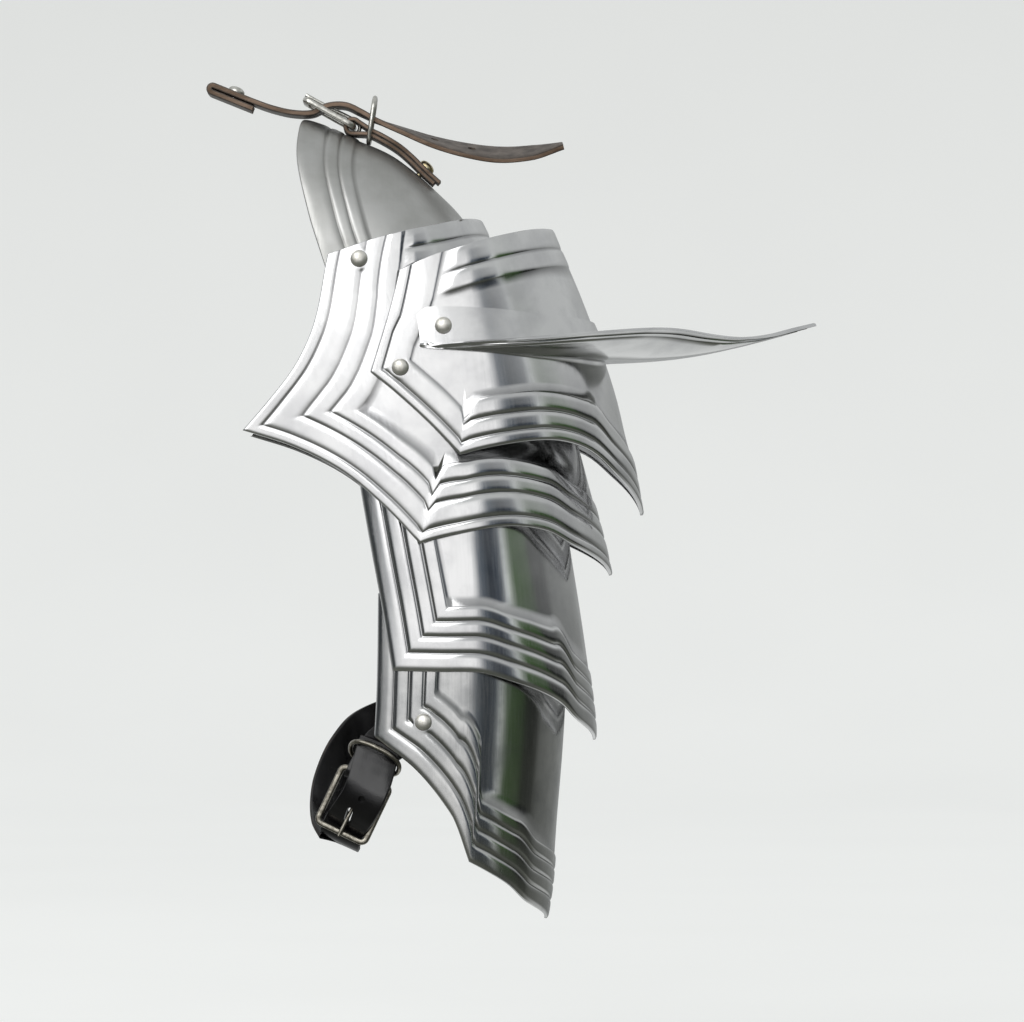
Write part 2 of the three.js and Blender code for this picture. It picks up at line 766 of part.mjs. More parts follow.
// Depth of the front of a plate, and of the cap, where they are seen at x and z
function plateFace(plate) {
  return (x, z) => wall(plate, around(plate, x, z), z).y;
}

function capFace(x, z) {
  const crown = read(CAP.arches, "x", "crown", x);
  const turn = Math.asin(Math.min(1, (z - CAP.foot) / (crown - CAP.foot)));
  return -read(CAP.arches, "x", "half", x) * Math.cos(turn);
}

// Depth along a rivet's axis from its seat to the outer face of a plate behind
function depthTo(face, { at, normal }) {
  let [near, far] = [0, 30];
  for (let n = 0; n < 40; n += 1) {
    const middle = (near + far) / 2;
    const p = at.clone().addScaledVector(normal, -middle);
    if (p.y < face(p.x, p.z)) near = middle;
    else far = middle;
  }
  return near;
}

// Axes of a buckle: p from heel bar to end bar, q out of the strap's face, r across the strap
function buckleAxes(heel, along, outward) {
  const p = along.clone().normalize();
  const q = outward.clone().addScaledVector(p, -outward.dot(p)).normalize();
  const r = new THREE.Vector3().crossVectors(q, p);
  const place = (u, v, w = 0) => {
    return heel.clone().addScaledVector(p, u).addScaledVector(q, v).addScaledVector(r, w);
  };
  return { heel, p, q, r, place };
}

// Flat rectangular frame with clipped corners
function buckleFrame({ heel, p, q, r }, length) {
  const half = BUCKLE_INSIDE / 2;
  const [start, end, wide] = [-WIRE, length + WIRE, half + 2 * WIRE];
  const clip = 2;
  const shape = new THREE.Shape();
  shape.moveTo(start + clip, -wide);
  shape.lineTo(end - clip, -wide);
  shape.lineTo(end, clip - wide);
  shape.lineTo(end, wide - clip);
  shape.lineTo(end - clip, wide);
  shape.lineTo(start + clip, wide);
  shape.lineTo(start, wide - clip);
  shape.lineTo(start, clip - wide);
  shape.closePath();
  const opening = new THREE.Path();
  opening.moveTo(WIRE, -half);
  opening.lineTo(WIRE, half);
  opening.lineTo(length - WIRE, half);
  opening.lineTo(length - WIRE, -half);
  opening.closePath();
  shape.holes.push(opening);
  const frame = new THREE.ExtrudeGeometry(shape, { depth: 2 * WIRE, bevelEnabled: false });
  frame.translate(0, 0, -WIRE);
  return frame.applyMatrix4(new THREE.Matrix4().makeBasis(p, r, q).setPosition(heel));
}

const TONGUE_WIRE = 0.9;
const TONGUE_SLOT = 1.7;

// Tongue that hooks round the heel bar and rests on the end bar
function buckleTongue({ place, r }, length) {
  const loop = WIRE * Math.SQRT2 + CLEAR + TONGUE_WIRE;
  const rest = WIRE + CLEAR + TONGUE_WIRE;
  const stations = [place(length + 1.8, rest), place(length - 4, rest), place(5, loop)];
  for (let angle = 90; angle <= 300; angle += 35) {
    const turn = THREE.MathUtils.degToRad(angle);
    stations.push(place(loop * Math.cos(turn), loop * Math.sin(turn)));
  }
  return sweep(stations.map((at) => ({ at, across: r })), wireSection(TONGUE_WIRE));
}

// Side view of a leather chape folded round the heel bar, and running on along a curve from it
function chapeShape(curve) {
  const heel = curve[0];
  const steps = Math.ceil(running(curve, ["u", "v"]).at(-1) / 4);
  const traced = trace(curve, ["u", "v"], steps).filter((p) => Math.hypot(p.u - heel.u, p.v - heel.v) > 6);
  const sides = traced.map((p, n) => {
    const [a, b] = [traced[Math.max(n - 1, 0)], traced[Math.min(n + 1, traced.length - 1)]];
    const run = new THREE.Vector2(b.u - a.u, b.v - a.v).normalize();
    const left = new THREE.Vector2(-run.y, run.x).multiplyScalar(CHAPE_HALF);
    return [new THREE.Vector2(p.u, p.v).add(left), new THREE.Vector2(p.u, p.v).sub(left)];
  });
  const away = Math.atan2(traced[0].v - heel.v, traced[0].u - heel.u);
  const outline = sides.map(([left]) => left).reverse();
  for (let n = 0; n <= 8; n += 1) {
    const turn = away + THREE.MathUtils.degToRad(65 + (230 * n) / 8);
    const reach = EYE + CHAPE_HALF;
    outline.push(new THREE.Vector2(heel.u + reach * Math.cos(turn), heel.v + reach * Math.sin(turn)));
  }
  outline.push(...sides.map(([, right]) => right));
  const shape = new THREE.Shape(outline);
  const eye = [];
  for (let n = 0; n < 8; n += 1) {
    const turn = (-n * Math.PI) / 4;
    eye.push(new THREE.Vector2(heel.u + EYE * Math.cos(turn), heel.v + EYE * Math.sin(turn)));
  }
  shape.holes.push(new THREE.Path(eye));
  return shape;
}

// Chape drawn in the plane of two axes and as wide as the strap, with the slot for the tongue
function chape(curve, axisU, axisV, origin, slot) {
  const axisW = new THREE.Vector3().crossVectors(axisU, axisV);
  const folded = new THREE.ExtrudeGeometry(chapeShape(curve), { depth: CHAPE_WIDTH, bevelEnabled: false });
  folded.translate(0, 0, -CHAPE_WIDTH / 2);
  folded.applyMatrix4(new THREE.Matrix4().makeBasis(axisU, axisV, axisW).setPosition(origin));
  return cut(folded, [slot]);
}

// Box along a buckle's axes, from one place on p to another
function slotTool({ p, q, r, place }, from, to, half, low, high) {
  const box = new THREE.BoxGeometry(to - from, 2 * half, high - low);
  const middle = place((from + to) / 2, (low + high) / 2);
  return box.applyMatrix4(new THREE.Matrix4().makeBasis(p, r, q).setPosition(middle));
}

// Rounded wire loop round a strap
function keeper(centre, across, up, halfWidth, halfHeight) {
  const stations = [];
  for (let n = 0; n < 16; n += 1) {
    const turn = (2 * Math.PI * n) / 16;
    const [c, s] = [Math.cos(turn), Math.sin(turn)];
    const reach = (Math.abs(c) ** 5 + Math.abs(s) ** 5) ** -0.2;
    const at = centre.clone().addScaledVector(across, halfWidth * reach * c);
    at.addScaledVector(up, halfHeight * reach * s);
    stations.push({ at, across: new THREE.Vector3().crossVectors(across, up) });
  }
  return sweep(stations, wireSection(KEEPER_WIRE), true);
}

// Shoulder buckle and strap
const shoulder = buckleAxes(
  SHOULDER_HEEL,
  SHOULDER_END.clone().sub(SHOULDER_HEEL),
  new THREE.Vector3(0, 0, 1),
);
const shoulderLength = SHOULDER_END.distanceTo(SHOULDER_HEEL);

// Station of the shoulder strap: tilt turns its front edge down
function strapStation({ x, z, tilt, width }) {
  const lean = THREE.MathUtils.degToRad(tilt);
  const across = new THREE.Vector3(0, Math.cos(lean), Math.sin(lean));
  return { at: new THREE.Vector3(x, 0, z), across, scale: Math.min(1, width) };
}

// Place on the strap's folded end: s along it from the fold, h above the upper layer's middle
const foldStart = new THREE.Vector3(SHOULDER_STRAP[0].x, 0, SHOULDER_STRAP[0].z);
const foldRun = new THREE.Vector3(SHOULDER_STRAP[1].x, 0, SHOULDER_STRAP[1].z).sub(foldStart).normalize();
const foldUp = new THREE.Vector3(-foldRun.z, 0, foldRun.x);
const foldPlace = (s, h) => foldStart.clone().addScaledVector(foldRun, s).addScaledVector(foldUp, h);

function shoulderStrap() {
  const { layers, length, flat } = STRAP_FOLD;
  const fold = [foldPlace(length, -layers), foldPlace(length - flat, -layers), foldPlace(0, -layers)];
  for (const angle of [45, 90, 135]) {
    const turn = THREE.MathUtils.degToRad(angle);
    fold.push(foldPlace((-layers / 2) * Math.sin(turn), (-layers / 2) * (1 + Math.cos(turn))));
  }
  const folded = fold.map(({ x, z }) => strapStation({ x, z, tilt: 0, width: 1 }));
  const run = trace(SHOULDER_STRAP, ["x", "z", "tilt", "width"], 22).map(strapStation);
  const band = sweep([...folded, ...run], bandSection(STRAP_WIDTH, STRAP_THICK));
  const holes = STRAP_HOLES.map((x) => {
    const z = read(SHOULDER_STRAP, "x", "z", x);
    const lean = THREE.MathUtils.degToRad(read(SHOULDER_STRAP, "x", "tilt", x));
    const hole = new THREE.CylinderGeometry(STRAP_HOLE_RADIUS, STRAP_HOLE_RADIUS, 12, 8);
    const through = new THREE.Vector3(0.26, -Math.sin(lean), Math.cos(lean)).normalize();
    return aim(hole, through, new THREE.Vector3(x, 0, z));
  });
  const slot = slotTool(shoulder, 9.5, 20, TONGUE_SLOT, -8, 9);
  return cut(band, [slot, ...holes, rivetHole(strapSeat, strapStack)]);
}

const strapSeat = { at: foldPlace(STRAP_FOLD.rivet, STRAP_THICK / 2), normal: foldUp };
const strapStack = STRAP_FOLD.layers + STRAP_THICK;

// Rivet whose end is flush below, for the strap's riveted end
function flushRivet({ at, normal }, depth) {
  const profile = [
    [0, -depth + CLEAR], [RIVET_SHANK, -depth + CLEAR], [RIVET_SHANK, CLEAR], [RIVET_HEAD, CLEAR],
    [RIVET_HEAD * 0.72, CLEAR + RIVET_RISE * 0.7], [0, CLEAR + RIVET_RISE],
  ];
  const turned = new THREE.LatheGeometry(profile.map(([r, y]) => new THREE.Vector2(r, y)), RIVET_SIDES);
  return aim(turned, normal, at);
}

// Seat of the chape's rivet on the crown
const chapeZ = (x) => read(SHOULDER_CHAPE, "x", "z", x);
const chapeFall = chapeZ(CHAPE_RIVET_X + 0.5) - chapeZ(CHAPE_RIVET_X - 0.5);
const chapeRun = new THREE.Vector3(1, 0, chapeFall).normalize();
const chapeNormal = new THREE.Vector3(-chapeRun.z, 0, chapeRun.x);
const chapeSeat = {
  at: new THREE.Vector3(CHAPE_RIVET_X, 0, chapeZ(CHAPE_RIVET_X)).addScaledVector(chapeNormal, CHAPE_HALF),
  normal: chapeNormal,
};
const chapeStack = 2 * CHAPE_HALF + 2.2;

// Arm buckle: its axes lie on the lower lame's inner face at the rivet
const armInner = spot(LOWER_LAME, ARM_RIVET.x, ARM_RIVET.z, SHEET);
const armHeel = buckleAxes(armInner.at, ARM_DOWN, armInner.normal).place(
  ARM_LINE.back,
  -ARM_LINE.under,
  -ARM_LINE.aside,
);
const arm = buckleAxes(armHeel, ARM_DOWN, armInner.normal);

// Arm strap: from its tail under the lame, over the heel bar, under the end bar and round to the back
function armStrap() {
  const tail = trace(ARM_TAIL, ["p", "q"], 16).map(({ p, q }) => ({ at: arm.place(p, q), across: arm.r }));
  const seatDepth = SHEET + LEATHER_GAP + LEATHER_THICK + CLEAR + STRAP_THICK / 2;
  const ends = [19, ARM_RIVET.x, 42].map((x) => {
    const { at } = spot(LOWER_LAME, x, ARM_RIVET.z, seatDepth + (x < ARM_RIVET.x ? 1 : 0));
    return { x: at.x, y: -at.y, z: at.z };
  });
  const first = tail[tail.length - 1].at;
  const course = [{ x: first.x, y: first.y, z: first.z }, ...ARM_LOOP, ...ends];
  const loop = trace(course, ["x", "y", "z"], 18).slice(1);
  const down = new THREE.Vector3(0, 0, -1);
  const round = loop.map(({ x, y, z }, n) => {
    const share = smoothstep(0, 0.75, (n + 1) / loop.length);
    return { at: new THREE.Vector3(x, y, z), across: arm.r.clone().lerp(down, share) };
  });
  const band = sweep([...tail, ...round], bandSection(STRAP_WIDTH, STRAP_THICK));
  return cut(band, [slotTool(arm, 2, 13.5, TONGUE_SLOT, -7, 9), mirrored(rivetHole(seats.arm, stacks.arm))]);
}

// Inner leather on the front, behind the plates it joins
function innerLeather() {
  const stations = LEATHER_PATH.map(({ x, z, plate, behind }) => {
    const { at, across } = spot(plate, x, z, SHEET + behind + LEATHER_THICK / 2);
    return { at, across };
  });
  return sweep(stations, bandSection(LEATHER_WIDTH, LEATHER_THICK));
}

// Seats of the paired rivets on the outermost face, and the depth of what each one holds
const seats = {
  pivot: spot(MAIN_PLATE, PIVOT.x, PIVOT.z),
  plate: spot(OUTER_PLATE, PLATE_RIVET.x, PLATE_RIVET.z),
  fin: spot(OUTER_PLATE, FIN_RIVET.x, FIN_RIVET.z, -SHEET - FIN.stand),
  lame: spot(UPPER_LAME, LAME_RIVET.x, LAME_RIVET.z, -FLUTE_HEIGHT),
  arm: spot(LOWER_LAME, ARM_RIVET.x, ARM_RIVET.z),
};
const stacks = {
  pivot: depthTo(capFace, seats.pivot) + SHEET + PIVOT_PLAY,
  plate: depthTo(plateFace(MAIN_PLATE), seats.plate) + SHEET + LEATHER_GAP + LEATHER_THICK,
  fin: 2 * SHEET + FIN.stand,
  lame: FLUTE_HEIGHT + SHEET + LEATHER_GAP + LEATHER_THICK,
  arm: SHEET + ARM_LINE.under - ARM_LINE.seat + CHAPE_HALF + CLEAR,
};
const backArmStack = SHEET + LEATHER_GAP + LEATHER_THICK + 2 * CLEAR + STRAP_THICK;

function pairOfHoles(name) {
  const front = rivetHole(seats[name], stacks[name]);
  return [front, mirrored(front)];
}

// Colours and surfaces
const POLISHED_STEEL = { color: 0xd6d8d8, roughness: 0.22, metalness: 1 };
const SATIN_STEEL = { color: 0xb9b8b3, roughness: 0.42, metalness: 1 };
const NICKEL = { color: 0xc9cac7, roughness: 0.25, metalness: 1 };
const BRASS = { color: 0xcdb98a, roughness: 0.3, metalness: 1 };
const BROWN_LEATHER = { color: 0x4d3a30, roughness: 0.62, metalness: 0 };
const BLACK_LEATHER = { color: 0x17161a, roughness: 0.4, metalness: 0 };

const pauldron = new THREE.Group();
pauldron.name = "pauldron";

function add(name, geometry, look) {
  const mesh = new THREE.Mesh(geometry, new THREE.MeshStandardMaterial(look));
  mesh.name = name;
  pauldron.add(mesh);
}

function addPair(name, geometry, look) {
  add(`${name}_front`, geometry, look);
  add(`${name}_back`, mirrored(geometry), look);
}

// Plates
const capHoles = [...pairOfHoles("pivot"), rivetHole(chapeSeat, chapeStack)];
add("shoulder_cap", cut(sheet(capGrid()), capHoles), SATIN_STEEL);
const mainSheet = sheet(plateGrid(MAIN_PLATE, [PIVOT, PLATE_RIVET]));
add("main_plate", cut(mainSheet, [...pairOfHoles("pivot"), ...pairOfHoles("plate")]), POLISHED_STEEL);
const outerSheet = sheet(plateGrid(OUTER_PLATE, [PLATE_RIVET, FIN_RIVET]));
add("outer_plate", cut(outerSheet, [...pairOfHoles("plate"), ...pairOfHoles("fin")]), POLISHED_STEEL);
add("wing_fin", cut(sheet(finGrid()), pairOfHoles("fin")), POLISHED_STEEL);
add("upper_lame", cut(sheet(plateGrid(UPPER_LAME, [])), pairOfHoles("lame")), POLISHED_STEEL);
add("lower_lame", cut(sheet(plateGrid(LOWER_LAME, [ARM_RIVET])), pairOfHoles("arm")), POLISHED_STEEL);

// Inner leathers
const leatherHoles = ["plate", "lame", "arm"].map((name) => rivetHole(seats[name], stacks[name]));
addPair("inner_leather", cut(innerLeather(), leatherHoles), BROWN_LEATHER);

// Rivets
addPair("pivot_rivet", rivet(seats.pivot, stacks.pivot), NICKEL);
addPair("plate_rivet", rivet(seats.plate, stacks.plate), NICKEL);
addPair("fin_rivet", rivet(seats.fin, stacks.fin), NICKEL);
addPair("lame_rivet", rivet(seats.lame, stacks.lame), NICKEL);
add("arm_rivet_front", rivet(seats.arm, stacks.arm), NICKEL);
add("arm_rivet_back", mirrored(rivet(seats.arm, backArmStack)), NICKEL);
add("chape_rivet", rivet(chapeSeat, chapeStack), BRASS);
add("strap_rivet", flushRivet(strapSeat, strapStack), NICKEL);

// Shoulder strap
add("shoulder_strap", shoulderStrap(), BROWN_LEATHER);
const crownCurve = SHOULDER_CHAPE.map(({ x, z }) => ({ u: x, v: z }));
const shoulderSlot = slotTool(shoulder, -5, 6, TONGUE_SLOT, -6, 6);
const shoulderChape = chape(
  crownCurve,
  new THREE.Vector3(1, 0, 0),
  new THREE.Vector3(0, 0, 1),
  new THREE.Vector3(),
  shoulderSlot,
);
add("shoulder_chape", cut(shoulderChape, [rivetHole(chapeSeat, chapeStack)]), BROWN_LEATHER);
add("shoulder_buckle", buckleFrame(shoulder, shoulderLength), NICKEL);
add("shoulder_tongue", buckleTongue(shoulder, shoulderLength), NICKEL);
const ringUp = KEEPER_TOP.clone().sub(KEEPER_FOOT).normalize();
const ringMiddle = KEEPER_FOOT.clone().lerp(KEEPER_TOP, 0.5);
const ringTall = KEEPER_FOOT.distanceTo(KEEPER_TOP) / 2;
const shoulderKeeper = keeper(ringMiddle, new THREE.Vector3(0, 1, 0), ringUp, KEEPER_HALF_WIDTH, ringTall);
add("shoulder_keeper", shoulderKeeper, NICKEL);

// Arm strap
add("arm_strap", armStrap(), BLACK_LEATHER);
const armCurve = ARM_CHAPE.map(({ p, q }) => ({ u: p, v: q }));
const armSlot = slotTool(arm, -5, 6, TONGUE_SLOT, -6, 6);
const armEye = chape(armCurve, arm.p, arm.q, arm.heel, armSlot);
const tabCourse = trace(ARM_TAB, ["p", "q", "r"], 7);
const tabStations = tabCourse.map(({ p, q, r }) => ({ at: arm.place(p, q, r), across: arm.r }));
const armTab = sweep(tabStations, bandSection(CHAPE_WIDTH - CLEAR, 2 * CHAPE_HALF - 0.1));
add("arm_chape", cut(joined(armEye, armTab), [rivetHole(seats.arm, stacks.arm)]), BLACK_LEATHER);
add("arm_buckle", buckleFrame(arm, ARM_LINE.length), NICKEL);
add("arm_tongue", buckleTongue(arm, ARM_LINE.length), NICKEL);
const armRing = arm.place(ARM_KEEPER.p, ARM_KEEPER.q);
const armKeeper = keeper(armRing, arm.r, arm.q, ARM_KEEPER.half, ARM_KEEPER.tall);
add("arm_keeper", armKeeper, NICKEL);

export default pauldron;
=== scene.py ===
import logging
import math
from dataclasses import dataclass, field
from enum import Enum
from typing import Any, Callable, Sequence

import bmesh
import bpy
import numpy as np
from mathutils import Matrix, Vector


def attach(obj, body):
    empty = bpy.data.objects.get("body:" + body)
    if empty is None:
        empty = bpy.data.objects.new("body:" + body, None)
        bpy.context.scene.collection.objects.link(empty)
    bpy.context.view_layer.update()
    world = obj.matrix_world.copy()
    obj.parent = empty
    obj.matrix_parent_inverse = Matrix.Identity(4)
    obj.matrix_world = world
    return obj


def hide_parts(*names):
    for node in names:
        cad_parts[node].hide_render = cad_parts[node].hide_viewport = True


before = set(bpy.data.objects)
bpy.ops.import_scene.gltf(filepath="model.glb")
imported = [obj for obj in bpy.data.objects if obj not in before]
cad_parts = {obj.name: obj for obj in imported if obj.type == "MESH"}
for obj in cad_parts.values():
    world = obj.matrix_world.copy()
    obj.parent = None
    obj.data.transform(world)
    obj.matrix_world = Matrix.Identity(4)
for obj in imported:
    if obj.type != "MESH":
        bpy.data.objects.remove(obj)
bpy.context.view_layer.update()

MM = 0.001
LOG = logging.getLogger("pauldron")
TO_BACK = np.array([1, -1, 1])
Array = np.ndarray
Columns = dict[str, Array]


class Body(Enum):
    """The two bodies that the pieces ride on."""

    SHOULDER = "shoulder_piece"
    ARM = "arm_guard"


class Half(Enum):
    """Front or back of the guard, as the node's name says it."""

    FRONT = "front"
    BACK = "back"


@dataclass(frozen=True)
class Stock:
    """Sheet, leather and rivet stock that the whole guard is made from, in millimetres."""

    sheet: float = 1.2
    clear: float = 0.3
    flute: float = 0.8
    strap_width: float = 20.0
    strap_thick: float = 2.6
    leather_width: float = 15.0
    leather_thick: float = 2.2
    leather_gap: float = 0.7
    chape_width: float = 19.0
    chape_layer: float = 2.0
    chape_half: float = 2.1
    eye: float = 2.3
    wire: float = 1.4
    tongue_wire: float = 0.9
    keeper_wire: float = 1.1
    buckle_inside: float = 21.4
    rivet_head: float = 3.9
    rivet_rise: float = 2.5
    rivet_land: float = 0.25
    rivet_shank: float = 1.5
    rivet_tail: float = 2.8
    rivet_foot: float = 1.2


STOCK = Stock()
# Pattern place at which a plate's round side turns flat, and x of a point on its side line
ROUND = 100.0
SIDE = math.inf
# Stand-in for SIDE in sums, and half the step over which a slope is taken
FAR = 1e6
NEAR = 0.5
# How squarely a band rises between its grooves, and how dark and wide the shade painted along a groove is
BAND_POWER = 4.5
GROOVE_DARK = 0.45
GROOVE_HALF = 0.6
# Rubbed edge of a sheet, and the angles in degrees above which an edge is sharp
RUBBED = 0.35
SHEET_SHARP = 62.0
SHARP = 50.0
RIVET_SHARP = 40.0


def columns(names: str, rows: Sequence[Sequence[float]]) -> Columns:
    """Columns of a short table, by their names, which have spaces between them."""
    return dict(zip(names.split(), np.array(rows, float).T))


def rows_of(table: Columns) -> Array:
    """The rows of a table."""
    return np.stack(list(table.values()), axis=1)


def smooth(keys: Array, values: Array, at: Array | float) -> Array:
    """Reads a smooth curve through values at rising keys, straight beyond its ends.

    Args:
        keys: Rising keys.
        values: The value at each key.
        at: Where to read the curve.

    Returns:
        The curve's values there.
    """
    keys, values, at = np.asarray(keys, float), np.asarray(values, float), np.asarray(at, float)
    count = len(keys)
    low = np.maximum(np.arange(count) - 1, 0)
    high = np.minimum(np.arange(count) + 1, count - 1)
    slope = (values[high] - values[low]) / (keys[high] - keys[low])
    i = np.clip(np.searchsorted(keys, at, side="left") - 1, 0, count - 2)
    span = keys[i + 1] - keys[i]
    t = (at - keys[i]) / span
    rise = values[i + 1] - values[i]
    bow = (1 - t) * (slope[i] * span - rise) + t * (rise - slope[i + 1] * span)
    inside = values[i] + t * rise + t * (1 - t) * bow
    below = values[0] + slope[0] * (at - keys[0])
    above = values[-1] + slope[-1] * (at - keys[-1])
    return np.where(at <= keys[0], below, np.where(at >= keys[-1], above, inside))


def running(points: Array) -> Array:
    """Distance along a row of points, from zero at the first."""
    return np.concatenate([[0.0], np.cumsum(np.linalg.norm(np.diff(points, axis=0), axis=1))])


def trace(points: Array, count: int) -> Array:
    """Places evenly spaced points on the smooth curve through the given ones.

    Args:
        points: Points as rows, of any number of coordinates.
        count: How many steps to take.

    Returns:
        The count + 1 points.
    """
    along = running(points)
    at = np.linspace(0.0, along[-1], count + 1)
    return np.stack([smooth(along, column, at) for column in points.T], axis=1)


def smoothstep(low: float, high: float, at: Array) -> Array:
    """Rises smoothly from 0 at low to 1 at high."""
    t = np.clip((at - low) / (high - low), 0.0, 1.0)
    return t * t * (3 - 2 * t)


def unit(vectors: Array) -> Array:
    """Vectors scaled to length 1."""
    return vectors / np.maximum(np.linalg.norm(vectors, axis=-1, keepdims=True), 1e-9)


def flute_lines(grooves: Sequence[float], pitch: float = 0.5) -> Array:
    """Distances from an edge at which a fluted border is sampled, up to its last groove."""
    return np.arange(0.0, max(grooves, default=0.0) + pitch / 2, pitch)


def ridges(distance: Array, grooves: Sequence[float], height: float) -> Array:
    """Height of the broad bands between narrow hammered grooves.

    Args:
        distance: Distance from the edge.
        grooves: Distance of each groove from the edge.
        height: Height of a band.

    Returns:
        The height at each distance, and zero beyond the last groove.
    """
    result = np.zeros_like(distance)
    for low, high in zip([0.0, *grooves], grooves):
        within = (distance >= low) & (distance < high)
        share = np.clip((distance - low) / (high - low), 0, 1)
        result = np.where(within, height * (1 - np.abs(2 * share - 1) ** BAND_POWER), result)
    return result


def groove_shade(distance: Array, grooves: Sequence[float]) -> Array:
    """Shade painted along the grooves, darkest on each groove.

    Args:
        distance: Distance from the edge.
        grooves: Distance of each groove from the edge.

    Returns:
        The darkness at each distance, from 0 to 1.
    """
    if not grooves:
        return np.zeros_like(distance)
    gap = np.min([np.abs(np.minimum(distance, FAR) - groove) for groove in grooves], axis=0)
    return GROOVE_DARK * np.exp(-((gap / GROOVE_HALF) ** 2))


@dataclass
class Skin:
    """A grid of points on a sheet's outer face, with its hammered relief and the shade painted along its
    grooves.
    """

    grid: Array
    relief: Array
    painted_groove_shade: Array
    flat: Array

    def normals(self) -> Array:
        """Outward normals of the grid."""
        return unit(np.cross(np.gradient(self.grid, axis=0), np.gradient(self.grid, axis=1)))


def whole_skin(grid: Array, *painted: Array) -> Skin:
    """Adds the back half to the points, relief, painted groove shade and flat map of a front half."""
    whole = [np.concatenate([part, part[:, -2::-1]], axis=1) for part in painted]
    return Skin(np.concatenate([grid, grid[:, -2::-1] * TO_BACK], axis=1), *whole)


@dataclass
class PieceMesh:
    """Vertices in millimetres, faces and what is painted on them."""

    points: Array
    faces: list[tuple[int, ...]]
    paint: list[int] = field(default_factory=list)
    uv: Array | None = None
    painted_groove_shade: Array | None = None


def sheet_mesh(skin: Skin) -> PieceMesh:
    """Gives a sheet its thickness, with a rim round all its edges.

    Args:
        skin: The outer face.

    Returns:
        The closed mesh.
    """
    rows, cols = skin.grid.shape[:2]
    normals = skin.normals()
    outer = skin.grid + normals * skin.relief[..., None]
    inner = outer - normals * STOCK.sheet
    points = np.concatenate([outer.reshape(-1, 3), inner.reshape(-1, 3)])
    index = np.arange(rows * cols).reshape(rows, cols)
    back = index + rows * cols
    quads = np.stack([index[:-1, :-1], index[1:, :-1], index[1:, 1:], index[:-1, 1:]], axis=-1)
    under = np.stack([back[:-1, :-1], back[:-1, 1:], back[1:, 1:], back[1:, :-1]], axis=-1)
    loop = np.concatenate([index[0, :-1], index[:-1, -1], index[-1, :0:-1], index[:0:-1, 0]])
    ahead = np.roll(loop, -1)
    rim = np.stack([loop, ahead, ahead + rows * cols, loop + rows * cols], axis=-1)
    faces = [tuple(map(int, quad)) for part in (quads, under, rim) for quad in part.reshape(-1, 4)]
    uv = np.concatenate([skin.flat.reshape(-1, 2)] * 2)
    painted_groove_shade = np.concatenate([skin.painted_groove_shade.reshape(-1)] * 2)
    return PieceMesh(points, faces, [], uv, painted_groove_shade)


def band_section(
    width: float, thick: float, corner: float = 0.55, crown: float = 0.06
) -> tuple[Array, list[int]]:
    """Section of a leather band with rubbed corners.

    Args:
        width: Width of the band.
        thick: Thickness of the band.
        corner: Radius of the rubbed corners.
        crown: How far the middle of a face stands up.

    Returns:
        Points of the section, and for each side of it 0 on a face and 1 on a cut edge.
    """
    half, deep = width / 2, thick / 2
    points: list[tuple[float, float]] = []
    sides: list[int] = []
    for turn, (cu, cv) in enumerate(((1, -1), (1, 1), (-1, 1), (-1, -1))):
        for step in range(4):
            angle = math.pi / 2 * (turn - 1 + step / 3)
            points.append((cu * (half - corner) + corner * math.cos(angle),
                           cv * (deep - corner) + corner * math.sin(angle)))
        sides += [0, 0, 0, 1 - turn % 2]
        if turn in (1, 3):
            for share in (0.2, 0.4, 0.6, 0.8):
                reach = (half - corner) * (1 - 2 * share)
                points.append((cu * reach, cv * (deep + crown * math.sin(math.pi * share))))
                sides.append(0)
    return np.array(points), sides


def wire_section(radius: float, power: float = 2.0, count: int = 16) -> tuple[Array, list[int]]:
    """Section of a wire or bar, round at power 2 and squarer above it.

    Args:
        radius: Half the width of the section.
        power: Exponent of its outline.
        count: Points round it.

    Returns:
        Points of the section, and a zero for each side.
    """
    turn = np.arange(count) * 2 * math.pi / count
    reach = (np.abs(np.cos(turn)) ** power + np.abs(np.sin(turn)) ** power) ** (-1 / power)
    return np.stack([np.cos(turn) * reach, np.sin(turn) * reach], axis=1) * radius, [0] * count


def sweep(
    path: Array,
    across: Array,
    section: tuple[Array, list[int]],
    ring: bool = False,
    scale: Array | None = None,
) -> PieceMesh:
    """Draws a band or wire along a path.

    Args:
        path: Points of the path.
        across: Direction across the band at each point.
        section: Section and its sides' paint.
        ring: Whether the path closes on itself.
        scale: Width at each point, as a share of the section's.

    Returns:
        The closed mesh, with a length and girth map.
    """
    outline, sides = section
    count, size = len(path), len(outline)
    if ring:
        along = unit(np.roll(path, -1, axis=0) - np.roll(path, 1, axis=0))
    else:
        along = unit(np.gradient(path, axis=0))
    side = unit(across - along * np.sum(across * along, axis=1, keepdims=True))
    through = np.cross(along, side)
    width = np.ones(count) if scale is None else scale
    points = (
        path[:, None]
        + side[:, None] * (outline[None, :, :1] * width[:, None, None])
        + through[:, None] * outline[None, :, 1:]
    )
    faces: list[tuple[int, ...]] = []
    paint: list[int] = []
    for n in range(count if ring else count - 1):
        for m in range(size):
            a, b = n * size + m, n * size + (m + 1) % size
            c, d = ((n + 1) % count) * size + (m + 1) % size, ((n + 1) % count) * size + m
            faces.append((a, d, c, b))
            paint.append(sides[m])
    if not ring:
        faces.append(tuple(range(size)))
        faces.append(tuple(range(count * size - 1, (count - 1) * size - 1, -1)))
        paint += [max(sides)] * 2
    length = running(path)
    uv = np.stack([np.repeat(length, size), np.tile(outline[:, 0], count)], axis=1)
    return PieceMesh(points.reshape(-1, 3), faces, paint, uv)


